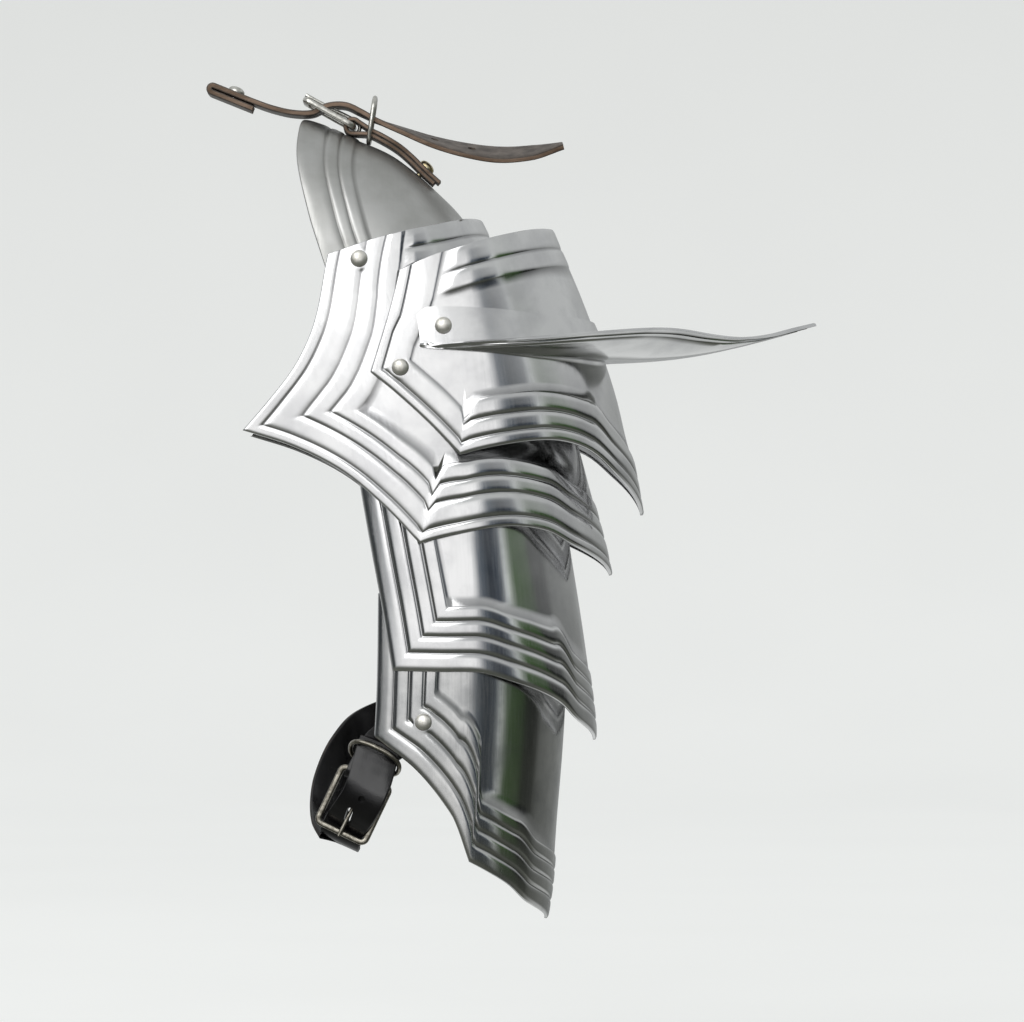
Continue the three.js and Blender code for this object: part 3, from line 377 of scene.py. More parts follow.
def lathe(profile: Array, origin: Array, axis: Array, count: int = 32) -> PieceMesh:
    """Turns a profile about an axis.

    Args:
        profile: Rows of radius and height, both ends on the axis.
        origin: Where the axis starts.
        axis: Its direction.
        count: Steps round the axis.

    Returns:
        The closed mesh.
    """
    axis = unit(np.asarray(axis, float))
    spare = np.array([0.0, 0.0, 1.0]) if abs(axis[2]) < 0.8 else np.array([1.0, 0.0, 0.0])
    u = unit(np.cross(axis, spare))
    v = np.cross(axis, u)
    inner = profile[1:-1]
    turn = np.arange(count) * 2 * math.pi / count
    spoke = np.cos(turn)[:, None] * u + np.sin(turn)[:, None] * v
    rings = origin + inner[:, None, :1] * spoke[None] + inner[:, None, 1:] * axis
    ends = np.stack([origin + profile[0, 1] * axis, origin + profile[-1, 1] * axis])
    points = np.concatenate([rings.reshape(-1, 3), ends])
    faces: list[tuple[int, ...]] = []
    last = (len(inner) - 1) * count
    for m in range(count):
        n = (m + 1) % count
        for k in range(len(inner) - 1):
            faces.append((k * count + m, k * count + n, (k + 1) * count + n, (k + 1) * count + m))
        faces.append((len(points) - 2, n, m))
        faces.append((len(points) - 1, last + m, last + n))
    return PieceMesh(points, faces)


def round_punch(at: Array, axis: Array, radius: float, low: float, high: float) -> PieceMesh:
    """Punch for a round hole, from low to high along its axis."""
    return lathe(np.array([[0, low], [radius, low], [radius, high], [0, high]]), at, axis, 24)


def mirrored(mesh: PieceMesh) -> PieceMesh:
    """The same piece on the back half."""
    faces = [tuple(reversed(face)) for face in mesh.faces]
    return PieceMesh(mesh.points * TO_BACK, faces, mesh.paint, mesh.uv, mesh.painted_groove_shade)


def linear(code: str) -> tuple[float, float, float, float]:
    """Turns an sRGB hex colour to linear red, green and blue, and 1."""
    parts = [int(code[n : n + 2], 16) / 255 for n in (1, 3, 5)]
    return (*[c / 12.92 if c <= 0.04045 else ((c + 0.055) / 1.055) ** 2.4 for c in parts], 1.0)


def add_node(
    tree: bpy.types.NodeTree,
    kind: str,
    settings: dict[str, Any] | None = None,
    links: dict[str | int, Any] | None = None,
    stops: Sequence[tuple[float, str]] = (),
) -> bpy.types.Node:
    """Adds a node with its settings, and sets or links its inputs.

    Args:
        tree: Where it goes.
        kind: The node's type.
        settings: Its own settings.
        links: An output to link, or a value, for each input by name or number.
        stops: Place and sRGB colour of each stop of a colour ramp.

    Returns:
        The node.
    """
    made = tree.nodes.new(kind)
    for name, value in (settings or {}).items():
        setattr(made, name, value)
    for name, value in (links or {}).items():
        if isinstance(value, bpy.types.NodeSocket):
            tree.links.new(value, made.inputs[name])
        else:
            made.inputs[name].default_value = value
    for n, (place, code) in enumerate(stops):
        elements = made.color_ramp.elements
        stop = elements[n] if n < len(elements) else elements.new(place)
        stop.position, stop.color = place, linear(code)
    return made


def new_material(name: str) -> tuple[bpy.types.Material, bpy.types.NodeTree, bpy.types.Node]:
    """Starts a material.

    Args:
        name: Its name.

    Returns:
        The material, its node tree and its surface shader.
    """
    material = bpy.data.materials.new(name)
    material.use_nodes = True
    tree = material.node_tree
    tree.nodes.clear()
    shader = add_node(tree, "ShaderNodeBsdfPrincipled")
    add_node(tree, "ShaderNodeOutputMaterial", links={"Surface": shader.outputs["BSDF"]})
    return material, tree, shader


@dataclass(frozen=True)
class SheetSteel:
    """Mild steel sheet, hammered to shape, fluted and finished with an abrasive wheel."""

    name: str
    bright: str
    dull: str
    # Colour of the shade painted along the grooves
    groove: str
    roughness: float
    spread: float
    streak_mm: tuple[float, float]
    streak_depth_mm: float
    dent_mm: float
    dent_depth_mm: float
    patch_mm: float = 22.0

    def material(self) -> bpy.types.Material:
        """Builds the finish: wheel streaks, faint hammer waves, dull patches and shade painted dark along
        the grooves.

        Returns:
            The material.
        """
        material, tree, shader = new_material(self.name)
        place = add_node(tree, "ShaderNodeTexCoord")
        across, along = self.streak_mm
        # The wheel's scratches are about 0.05 mm wide; they are drawn coarser here so that they show.
        lines = add_node(tree, "ShaderNodeMapping", links={
            "Vector": place.outputs["UV"], "Scale": (1 / across, 1 / along, 1.0)})
        streak = add_node(tree, "ShaderNodeTexNoise", links={
            "Vector": lines.outputs["Vector"], "Scale": 1.0, "Detail": 3.0, "Roughness": 0.6})
        patch = add_node(tree, "ShaderNodeTexNoise", links={
            "Vector": place.outputs["Object"], "Scale": 1 / (self.patch_mm * MM), "Detail": 4.0,
            "Roughness": 0.55})
        wave = add_node(tree, "ShaderNodeTexNoise", links={
            "Vector": place.outputs["Object"], "Scale": 1 / (self.dent_mm * MM), "Detail": 1.0})
        # Painted shade: the colour is mixed towards the groove colour along the grooves, by a shade stored
        # on each point
        painted_groove_shade = add_node(tree, "ShaderNodeAttribute", {"attribute_name": "painted_groove_shade"})
        tone = add_node(tree, "ShaderNodeValToRGB", links={"Fac": patch.outputs["Fac"]}, stops=(
            (0.35, self.dull), (0.62, self.bright)))
        darkened = add_node(tree, "ShaderNodeMix", {"data_type": "RGBA"}, {
            "Factor": painted_groove_shade.outputs["Fac"], 6: tone.outputs["Color"], 7: linear(self.groove)})
        rough = add_node(tree, "ShaderNodeMapRange", links={
            "Value": streak.outputs["Fac"], "From Min": 0.3, "From Max": 0.7,
            "To Min": self.roughness - self.spread, "To Max": self.roughness + self.spread})
        haze = add_node(tree, "ShaderNodeMapRange", links={
            "Value": patch.outputs["Fac"], "From Min": 0.35, "From Max": 0.7,
            "To Min": self.spread, "To Max": -self.spread * 0.5})
        total = add_node(tree, "ShaderNodeMath", {"operation": "ADD", "use_clamp": True}, {
            0: rough.outputs["Result"], 1: haze.outputs["Result"]})
        scratch = add_node(tree, "ShaderNodeBump", links={
            "Height": streak.outputs["Fac"], "Strength": 1.0, "Distance": self.streak_depth_mm * MM})
        dents = add_node(tree, "ShaderNodeBump", links={
            "Height": wave.outputs["Fac"], "Strength": 1.0, "Distance": self.dent_depth_mm * MM,
            "Normal": scratch.outputs["Normal"]})
        shader.inputs["Metallic"].default_value = 1.0
        tree.links.new(darkened.outputs[2], shader.inputs["Base Color"])
        tree.links.new(total.outputs["Value"], shader.inputs["Roughness"])
        tree.links.new(dents.outputs["Normal"], shader.inputs["Normal"])
        return material


@dataclass(frozen=True)
class CastMetal:
    """Small bright fittings: nickel-plated wire and rivets, and turned brass."""

    name: str
    bright: str
    dull: str
    roughness: float
    cloud_mm: float = 2.2
    pit_depth_mm: float = 0.05

    def material(self) -> bpy.types.Material:
        """Builds the finish: handled, with cloudy dulling and pits.

        Returns:
            The material.
        """
        material, tree, shader = new_material(self.name)
        place = add_node(tree, "ShaderNodeTexCoord")
        cloud = add_node(tree, "ShaderNodeTexNoise", links={
            "Vector": place.outputs["Object"], "Scale": 1 / (self.cloud_mm * MM), "Detail": 5.0,
            "Roughness": 0.6})
        tone = add_node(tree, "ShaderNodeValToRGB", links={"Fac": cloud.outputs["Fac"]}, stops=(
            (0.34, self.dull), (0.6, self.bright)))
        rough = add_node(tree, "ShaderNodeMapRange", links={
            "Value": cloud.outputs["Fac"], "From Min": 0.3, "From Max": 0.7,
            "To Min": self.roughness + 0.14, "To Max": self.roughness - 0.04})
        pits = add_node(tree, "ShaderNodeBump", links={
            "Height": cloud.outputs["Fac"], "Strength": 1.0, "Distance": self.pit_depth_mm * MM})
        shader.inputs["Metallic"].default_value = 1.0
        tree.links.new(tone.outputs["Color"], shader.inputs["Base Color"])
        tree.links.new(rough.outputs["Result"], shader.inputs["Roughness"])
        tree.links.new(pits.outputs["Normal"], shader.inputs["Normal"])
        return material


@dataclass(frozen=True)
class Leather:
    """Vegetable-tanned strap leather, dyed on its faces or left natural where it was cut."""

    name: str
    colour: str
    rubbed: str
    roughness: float
    grain_mm: float
    grain_depth_mm: float
    gloss: float = 0.5
    layers: bool = False
    cloud_mm: float = 7.0

    def material(self) -> bpy.types.Material:
        """Builds the finish: pebbled grain, rubbed tone, and fibres on a cut edge.

        Returns:
            The material.
        """
        material, tree, shader = new_material(self.name)
        place = add_node(tree, "ShaderNodeTexCoord")
        spread = add_node(tree, "ShaderNodeMapping", links={
            "Vector": place.outputs["Object"], "Scale": (0.25 if self.layers else 1.0, 1.0, 1.0)})
        grain = add_node(tree, "ShaderNodeTexVoronoi", {"feature": "F1"}, {
            "Vector": spread.outputs["Vector"], "Scale": 1 / (self.grain_mm * MM), "Randomness": 1.0})
        cloud = add_node(tree, "ShaderNodeTexNoise", links={
            "Vector": spread.outputs["Vector"], "Scale": 1 / (self.cloud_mm * MM), "Detail": 6.0,
            "Roughness": 0.6})
        tone = add_node(tree, "ShaderNodeValToRGB", links={"Fac": cloud.outputs["Fac"]}, stops=(
            (0.38, self.colour), (0.68, self.rubbed)))
        rough = add_node(tree, "ShaderNodeMapRange", links={
            "Value": cloud.outputs["Fac"], "From Min": 0.3, "From Max": 0.7,
            "To Min": self.roughness + 0.08, "To Max": self.roughness - 0.08})
        height = add_node(tree, "ShaderNodeMath", {"operation": "ADD"}, {
            0: grain.outputs["Distance"], 1: cloud.outputs["Fac"]})
        pebble = add_node(tree, "ShaderNodeBump", links={
            "Height": height.outputs["Value"], "Strength": 0.8, "Distance": self.grain_depth_mm * MM})
        shader.inputs["Specular IOR Level"].default_value = self.gloss
        tree.links.new(tone.outputs["Color"], shader.inputs["Base Color"])
        tree.links.new(rough.outputs["Result"], shader.inputs["Roughness"])
        tree.links.new(pebble.outputs["Normal"], shader.inputs["Normal"])
        return material


@dataclass(frozen=True)
class BackdropPaper:
    """Uncoated paper that hangs behind the guard and is lit evenly."""

    name: str
    dark: str
    pale: str
    light: str
    glow: float
    cloud_mm: float = 1000 / 3

    def material(self) -> bpy.types.Material:
        """Builds the finish: matt, with broad clouds of fibre and an even light over it.

        Returns:
            The material.
        """
        material, tree, shader = new_material(self.name)
        place = add_node(tree, "ShaderNodeTexCoord")
        cloud = add_node(tree, "ShaderNodeTexNoise", links={
            "Vector": place.outputs["Object"], "Scale": 1 / (self.cloud_mm * MM), "Detail": 4.0})
        tone = add_node(tree, "ShaderNodeValToRGB", links={"Fac": cloud.outputs["Fac"]}, stops=(
            (0.3, self.dark), (0.7, self.pale)))
        tree.links.new(tone.outputs["Color"], shader.inputs["Base Color"])
        shader.inputs["Roughness"].default_value = 0.9
        shader.inputs["Emission Color"].default_value = linear(self.light)
        shader.inputs["Emission Strength"].default_value = self.glow
        return material


Finish = SheetSteel | CastMetal | Leather | BackdropPaper

# Steel that was satined on a fine wheel: soft wide highlights with streaks, and no sharp reflections
SATIN_STEEL = SheetSteel(
    "mild steel, satin wheeled", "#c6c6c4", "#b6b6b3", "#6b6a67", 0.42, 0.05, (0.5, 26.0), 0.005, 40.0, 0.08)
# Steel that was buffed: near mirror, broken by hammer waves and by a haze where hands rubbed it
POLISHED_STEEL = SheetSteel(
    "mild steel, buffed", "#e1e1e1", "#cfcfd0", "#565658", 0.13, 0.05, (0.7, 24.0), 0.003, 24.0, 0.12)
# Buffed steel that handling has dulled, with softer reflections; its greyer colour is painted shade for the
# dark floor that the lower lame mirrors, and shade is painted dark along its grooves
DULLED_SHADED_STEEL = SheetSteel(
    "mild steel sheet, buffed and handled dull", "#cfcfce", "#b2b3b3", "#4c4c4a", 0.16, 0.06, (0.7, 24.0),
    0.003, 24.0, 0.12)
# Satin nickel plate on rivet heads: almost white, with one broad soft highlight
RIVET_NICKEL = CastMetal("nickel plate, satin", "#f0eee8", "#d6d3ca", 0.4)
# Tumbled nickel plate on wire: bright, greyer where it has dulled
NICKEL = CastMetal("nickel plate, tumbled", "#dad9d3", "#b3b1aa", 0.26)
# Nickel plate painted dark and brownish as shade, for the black strap and dark surroundings that the arm
# buckle mirrors, with small glints
SHADED_NICKEL = CastMetal("nickel plate, worn and shaded", "#98948a", "#5d5950", 0.24)
# Brass that was turned and polished: pale gold that dulls to olive
BRASS = CastMetal("brass, turned and polished", "#e6dcbc", "#b8a678", 0.26)
# Drum-dyed leather: dark on its faces, paler where it bends
BROWN_LEATHER = Leather("strap leather, drum dyed brown", "#453d37", "#655a51", 0.5, 0.7, 0.07)
# Black leather with a glazed face: sharp highlights over a fine grain
BLACK_LEATHER = Leather("strap leather, glazed black", "#09080a", "#131214", 0.2, 0.6, 0.03, 0.45)
# Undyed leather where it was cut: reddish tan fibres, darker where it was rubbed down
CUT_EDGE = Leather("strap leather, natural cut edge", "#64503f", "#a08774", 0.7, 0.35, 0.09, layers=True)
# Edge of the black leather: dyed through, with brown fibres showing
DARK_EDGE = Leather("strap leather, black cut edge", "#1a1715", "#352c28", 0.6, 0.35, 0.08, 0.3, layers=True)

# Uncoated paper under even light: a plain pale tone with no gloss
PAPER = BackdropPaper("uncoated paper, rolled matt", "#b4b4b2", "#b9b9b7", "#e9ebea", 0.61)


class Wardrobe:
    """Makes each finish once and hands it out."""

    def __init__(self) -> None:
        """Starts with nothing made."""
        self._made: dict[str, bpy.types.Material] = {}

    def get(self, finish: Finish) -> bpy.types.Material:
        """The material of a finish.

        Args:
            finish: The finish.

        Returns:
            Its material, the same one each time.
        """
        if finish.name not in self._made:
            self._made[finish.name] = finish.material()
        return self._made[finish.name]


WARDROBE = Wardrobe()


@dataclass(frozen=True)
class Seat:
    """Where a piece goes in the frame: its node, its body and the record's material slot."""

    node: str
    body: Body
    slot: str


def outward_mesh(name: str, mesh: PieceMesh) -> bpy.types.Mesh:
    """Makes Blender's mesh of a piece, in metres and with its faces turned outwards.

    Args:
        name: Its name.
        mesh: The piece, in millimetres.

    Returns:
        The mesh.
    """
    data = bpy.data.meshes.new(name)
    data.from_pydata((mesh.points * MM).tolist(), [], mesh.faces)
    shape = bmesh.new()
    shape.from_mesh(data)
    bmesh.ops.recalc_face_normals(shape, faces=shape.faces)
    shape.to_mesh(data)
    shape.free()
    return data


def smooth_faces(data: bpy.types.Mesh, sharp: float) -> None:
    """Shades a mesh smooth, but for edges above an angle in degrees."""
    data.shade_smooth()
    data.set_sharp_from_angle(angle=math.radians(sharp))


def place_piece(
    name: str,
    mesh: PieceMesh,
    seat: Seat,
    finishes: Sequence[Finish],
    rim: float = 0.0,
    sharp: float = SHARP,
) -> bpy.types.Object:
    """Makes a piece, dresses it and puts it in its node's place.

    Args:
        name: The piece's name.
        mesh: Its mesh in millimetres.
        seat: Where it goes.
        finishes: Its finishes, in the order of the mesh's paint.
        rim: Width to which its sharp edges are rounded, in millimetres.
        sharp: Angle above which an edge is sharp, in degrees.

    Returns:
        The object.
    """
    data = outward_mesh(name, mesh)
    if mesh.uv is not None:
        layer = data.uv_layers.new(name="length_and_girth")
        corners = np.empty(len(data.loops), np.int32)
        data.loops.foreach_get("vertex_index", corners)
        layer.data.foreach_set("uv", mesh.uv[corners].astype(np.float32).ravel())
    # Shade painted along a sheet's grooves, which darkens its steel's colour
    painted_groove_shade = data.attributes.new("painted_groove_shade", "FLOAT", "POINT")
    if mesh.painted_groove_shade is not None:
        painted_groove_shade.data.foreach_set("value", mesh.painted_groove_shade.astype(np.float32))
    for finish in finishes:
        data.materials.append(WARDROBE.get(finish))
    if mesh.paint:
        data.polygons.foreach_set("material_index", np.array(mesh.paint, np.int32))
    smooth_faces(data, sharp)
    obj = bpy.data.objects.new(name, data)
    bpy.context.collection.objects.link(obj)
    if rim:
        bevel = obj.modifiers.new("rubbed edges", "BEVEL")
        bevel.width = rim * MM
        bevel.segments = 2
        bevel.limit_method = "ANGLE"
        bevel.angle_limit = math.radians(sharp)
    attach(obj, seat.body.value)
    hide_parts(seat.node)
    LOG.info("%s: %d faces on %s", name, len(data.polygons), seat.body.value)
    return obj


def place_sheet(skin: Skin, seat: Seat, finish: SheetSteel) -> bpy.types.Object:
    """Makes a plate of sheet steel from its outer face, and rubs its edges."""
    return place_piece(f"{seat.node}_steel", sheet_mesh(skin), seat, [finish], RUBBED, SHEET_SHARP)


def punch(obj: bpy.types.Object, tools: Sequence[PieceMesh]) -> None:
    """Punches holes and slots through a piece.

    Args:
        obj: The piece.
        tools: The punches, as closed meshes in millimetres.
    """
    for n, tool in enumerate(tools):
        cutter = bpy.data.objects.new(f"punch_{n}", outward_mesh(f"punch_{n}", tool))
        bpy.context.collection.objects.link(cutter)
        cut = obj.modifiers.new("punched", "BOOLEAN")
        cut.object = cutter
        cut.operation = "DIFFERENCE"
        cut.solver = "EXACT"
        bpy.context.view_layer.update()
        graph = bpy.context.evaluated_depsgraph_get()
        result = bpy.data.meshes.new_from_object(obj.evaluated_get(graph))
        obj.modifiers.remove(cut)
        obj.data = result
        bpy.data.objects.remove(cutter)
    smooth_faces(obj.data, SHARP)


@dataclass(frozen=True)
class EdgePath:
    """An edge of a plate in its pattern."""

    path: Array
    along: Array
    corner: float

    def at(self, share: Array) -> Array:
        """Pattern places at shares of the edge's length."""
        goal = np.clip(share, 0.0, 1.0) * self.along[-1]
        return np.stack([np.interp(goal, self.along, column) for column in self.path.T], axis=-1)


@dataclass
class FlutedPlate:
    """A plate with upright walls: round at the side, and flat to its front and back edges."""

    node: str
    flat: float
    grooves: tuple[float, ...]
    top_grooves: tuple[float, ...]
    inner: tuple[int, ...]
    inner_rows: int
    sections: Columns
    top: list[list[tuple[float, float]]]
    front: list[list[tuple[float, float]]]
    bottom: list[list[tuple[float, float]]]
    quiet: list[tuple[float, float]] = field(default_factory=list)
    side_grooves: tuple[float, ...] = ()
    front_flute: float = STOCK.flute
    crest_flute: float = 0.45
    crest_start: tuple[float, float] = (0.5, 7.0)
    rivet_land: tuple[float, float] = (4.2, 6.2)
    fluted_share: float = 0.86
    edge_steps: int = 60
    finish: SheetSteel = POLISHED_STEEL

    def reading(self, column: str, z: Array | float) -> Array:
        """A column of the sections at heights."""
        return smooth(self.sections["z"], self.sections[column], z)

    def around(self, x: Array | float, z: Array | float) -> Array:
        """Pattern place of points that are seen from the front.

        Args:
            x: Their places out along the shoulder.
            z: Their heights.

        Returns:
            Zero on the side line, ROUND where the wall turns flat, and millimetres beyond that.
        """
        x = np.minimum(x, FAR)
        centre, side = self.reading("centre", z), self.reading("side", z)
        turn = np.arccos(np.clip((x - centre) / (side - centre), -1.0, 1.0))
        return np.where(x <= centre, ROUND + centre - x, turn / (math.pi / 2) * ROUND)

    def wall(self, a: Array, z: Array | float) -> Array:
        """Points on the outer face of the front half.

        Args:
            a: Pattern places.
            z: Heights.

        Returns:
            The points.
        """
        centre, side, depth = (self.reading(name, z) for name in ("centre", "side", "depth"))
        reach = np.maximum(a - ROUND, 0.0)
        turn = np.minimum(a, ROUND) / ROUND * (math.pi / 2)
        x = np.where(a > ROUND, centre - reach, centre + (side - centre) * np.cos(turn))
        y = np.where(a > ROUND, -(depth - reach**2 / (2 * self.flat)), -depth * np.sin(turn))
        return np.stack([x, y, np.broadcast_to(z, x.shape)], axis=-1)

    def facing(self, a: Array, z: Array | float) -> tuple[Array, Array]:
        """Outward normals and level directions of the wall.

        Args:
            a: Pattern places.
            z: Heights.

        Returns:
            The normals and the level directions.
        """
        level = unit(self.wall(a - NEAR, z) - self.wall(a + NEAR, z))
        down = unit(self.wall(a, z - NEAR) - self.wall(a, z + NEAR))
        return unit(np.cross(down, level)), level

    def spot(self, x: float, z: float, depth: float = 0.0) -> tuple[Array, Array, Array]:
        """A place on the front, seen at x and z, and some way below the outer face.

        Args:
            x: Place out along the shoulder.
            z: Height.
            depth: How far below the outer face.

        Returns:
            The point, the outward normal and the level direction.
        """
        a = self.around(x, z)
        normal, level = self.facing(a, z)
        return self.wall(a, z) - normal * depth, normal, level

    def edge(self, stretches: list[list[tuple[float, float]]]) -> EdgePath:
        """Turns an edge that is drawn from the front into the pattern.

        Args:
            stretches: One or two stretches of points.

        Returns:
            The edge.
        """
        parts = []
        for stretch in stretches:
            x, z = np.array(stretch).T
            parts.append(trace(np.stack([self.around(x, z), z], axis=1), self.edge_steps))
        path = np.concatenate([parts[0], *[part[1:] for part in parts[1:]]])
        along = running(path)
        return EdgePath(path, along, along[len(parts[0]) - 1] / along[-1])

    def skin(self) -> Skin:
        """Lays a grid between the edges, with its lines along the flutes, and raises the flutes.

        Returns:
            The outer face from the front edge round to the back edge.
        """
        top, bottom, front = self.edge(self.top), self.edge(self.bottom), self.edge(self.front)
        corners = [top.at(0.0), top.at(1.0), bottom.at(0.0), bottom.at(1.0)]
        step = 0.002

        def patch(k: Array, v: Array) -> Array:
            """Pattern places between the four edges.

            Args:
                k: Shares of the way from the front edge to the side line.
                v: Shares of the way from the top edge to the bottom edge.

            Returns:
                The places.
            """
            k, v = np.broadcast_arrays(np.asarray(k, float), np.asarray(v, float))
            kk, vv = k[..., None], v[..., None]
            high, low = corners[1][1], corners[3][1]
            side = np.stack([np.zeros_like(v), high + (low - high) * v], axis=-1)
            bowed = top.at(k) * (1 - vv) + bottom.at(k) * vv + front.at(v) * (1 - kk) + side * kk
            upper = corners[0] * (1 - kk) + corners[1] * kk
            lower = corners[2] * (1 - kk) + corners[3] * kk
            return bowed - upper * (1 - vv) - lower * vv

        def pace(move: Array, run: Array) -> Array:
            """Square distance from an edge that one unit of k or v covers there."""
            turn = np.abs(run[..., 0] * move[..., 1] - run[..., 1] * move[..., 0])
            return turn / np.linalg.norm(run, axis=-1) / step

        side_grooves = self.side_grooves or self.grooves
        border = flute_lines((*self.grooves, *side_grooves))
        crest = flute_lines(self.top_grooves)

        def front_pace(v: float) -> Array:
            """Square distance from the front edge that one unit of k covers at one height."""
            return pace(patch(step, v) - patch(0.0, v), front.at(v + step) - front.at(v - step))

        def columns_at(v: float) -> Array:
            """Shares k of the grid's columns.

            Args:
                v: Share of the height.

            Returns:
                The shares.
            """
            shares = list(border / front_pace(v))
            stops = [bottom.corner, 1.0] if len(self.bottom) > 1 else [1.0]
            for count, stop in zip(self.inner, stops):
                shares += list(np.linspace(shares[-1], stop, count + 1)[1:])
            return np.array(shares)

        def rows_at(k: Array) -> Array:
            """Shares v of the grid's rows.

            Args:
                k: Shares of the way from the front edge.

            Returns:
                The shares at each k.
            """
            low_pace = pace(patch(k, 1 - step) - patch(k, 1.0), bottom.at(k + step) - bottom.at(k - step))
            high_pace = pace(patch(k, step) - patch(k, 0.0), top.at(k + step) - top.at(k - step))
            low, high = border[:, None] / low_pace, crest[:, None] / high_pace
            squeeze = np.minimum(1.0, self.fluted_share / (low[-1] + high[-1]))
            start, stop = high[-1] * squeeze, 1 - low[-1] * squeeze
            share = np.arange(1, self.inner_rows)[:, None] / self.inner_rows
            return np.concatenate([high * squeeze, start + (stop - start) * share, 1 - low[::-1] * squeeze])

        def line_of(lines: Array, order: Array) -> Array:
            """Distance from the edge of each row or column, or SIDE beyond the border."""
            return np.where(order < len(lines), lines[np.minimum(order, len(lines) - 1)], SIDE)

        nominal = rows_at(np.array([0.5]))[:, 0]
        order = np.arange(len(nominal))
        low_line, high_line = line_of(border, order[::-1]), line_of(crest, order)
        points, relief, painted_groove_shade, flat = [], [], [], []
        for j, v in enumerate(nominal):
            k = columns_at(float(v))
            place = patch(k, rows_at(k)[j])
            spots = self.wall(np.maximum(place[:, 0], 0.0), place[:, 1])
            edge_line = line_of(border, np.arange(len(k)))
            near = np.minimum(edge_line, low_line[j])
            upper = np.full_like(near, high_line[j])
            aside = (low_line[j] <= edge_line) & (k > bottom.corner)
            height = np.where(aside, ridges(near, side_grooves, STOCK.flute),
                              ridges(near, self.grooves, self.front_flute))
            # Painted shade along the border's grooves
            shade = np.where(aside, groove_shade(near, side_grooves), groove_shade(near, self.grooves))
            first, last = self.crest_start
            reach = k * front_pace(float(v)) - self.grooves[-1]
            clear = smoothstep(first, last, reach)
            height = np.maximum(height, clear * ridges(upper, self.top_grooves, self.crest_flute))
            shade = np.maximum(shade, clear * groove_shade(upper, self.top_grooves))
            for x, z in self.quiet:
                fade = smoothstep(*self.rivet_land, np.hypot(spots[:, 0] - x, spots[:, 2] - z))
                height, shade = self.front_flute + (height - self.front_flute) * fade, shade * fade
            points.append(spots)
            relief.append(height)
            painted_groove_shade.append(shade)
            flat.append(place)
        return whole_skin(np.array(points), np.array(relief), np.array(painted_groove_shade), np.array(flat))

    def build(self) -> bpy.types.Object:
        """Makes the plate in its steel."""
        return place_sheet(self.skin(), Seat(self.node, Body.ARM, "polished_steel"), self.finish)


SECTION = "z centre side depth"
PIVOT = (5.0, -58.2)
PLATE_RIVET = (23.8, -107.7)
FIN_RIVET = (43.3, -88.9)
LAME_RIVET = (30.0, -166.0)
ARM_RIVET = (34.3, -268.7)

MAIN_PLATE = FlutedPlate(
    "main_plate", 400, (5, 15.5, 23, 31), (8, 16), (14, 44), 14,
    columns(SECTION, [
        [-203, 54, 121.3, 63.5], [-187, 52.5, 117.8, 63.5], [-158, 49, 110, 63.3], [-143, 46, 106, 63],
        [-120, 41, 98.5, 62.6], [-95, 34, 88.5, 62], [-70, 26, 77, 61.3], [-45, 21, 64.4, 60.8],
        [-30, 18, 57, 60.5]]),
    top=[[(-9.2, -56), (18.3, -47.2), (40.2, -42.1), (52.7, -38.6), (SIDE, -37.2)]],
    front=[[(-9.2, -56), (-12.8, -75.3), (-17, -91.4), (-25, -107.6), (-37.6, -123.8), (-48.3, -136)]],
    bottom=[
        [(-48.3, -136), (-25, -143.5), (-3.4, -154.4), (16.3, -170.6), (32.5, -187.6)],
        [(32.5, -187.6), (46.9, -184), (72.1, -179.8), (90.3, -181.6), (103.2, -188.2), (SIDE, -201.8)]],
    quiet=[PIVOT], front_flute=0.36)

OUTER_PLATE = FlutedPlate(
    "outer_plate", 400, (5, 16.5), (9.5, 18), (14, 34), 14,
    columns(SECTION, [
        [-175, 61, 135.8, 67], [-151.8, 60, 131.6, 67], [-139.6, 59, 128.1, 67], [-121.2, 57, 123.8, 67],
        [-103.7, 55, 118.4, 67], [-83.4, 52.5, 111.1, 66.9], [-68.8, 50, 105.4, 66.7],
        [-48.5, 46, 96.6, 66.3], [-38, 44, 92.3, 66]]),
    top=[[(23.2, -63.6), (40.7, -55.9), (65.3, -48.4), (84.7, -43.4), (SIDE, -41.5)]],
    front=[[(23.2, -63.6), (10.1, -109.9)]],
    bottom=[
        [(10.1, -109.9), (21.2, -118.9), (36.1, -132.4), (50.7, -147.5)],
        [(50.7, -147.5), (68.3, -143.3), (87.9, -140.6), (100, -141.3), (111.7, -145.6), (123.4, -155.9),
         (SIDE, -174)]],
    quiet=[PLATE_RIVET], side_grooves=(5.5, 13.5, 22.5), front_flute=0.48)

UPPER_LAME = FlutedPlate(
    "upper_lame", 90, (8.5, 16, 23, 30), (), (48,), 14,
    columns(SECTION, [
        [-280, 50.5, 113.6, 59], [-269, 50.5, 113.3, 59], [-244.4, 50.5, 110.3, 59],
        [-218.6, 50.5, 106.6, 59], [-186.6, 49.5, 101.5, 59], [-148, 48.5, 96, 58.5]]),
    top=[[(3.4, -148), (48.5, -148), (SIDE, -148)]],
    front=[[(3.4, -148), (5, -160), (15, -215), (20.1, -245.5)]],
    bottom=[[(20.1, -245.5), (42, -245.9), (60.1, -246.3), (73.6, -250), (87.2, -254.7), (97.4, -260.3),
             (105.9, -268.9), (SIDE, -278)]])

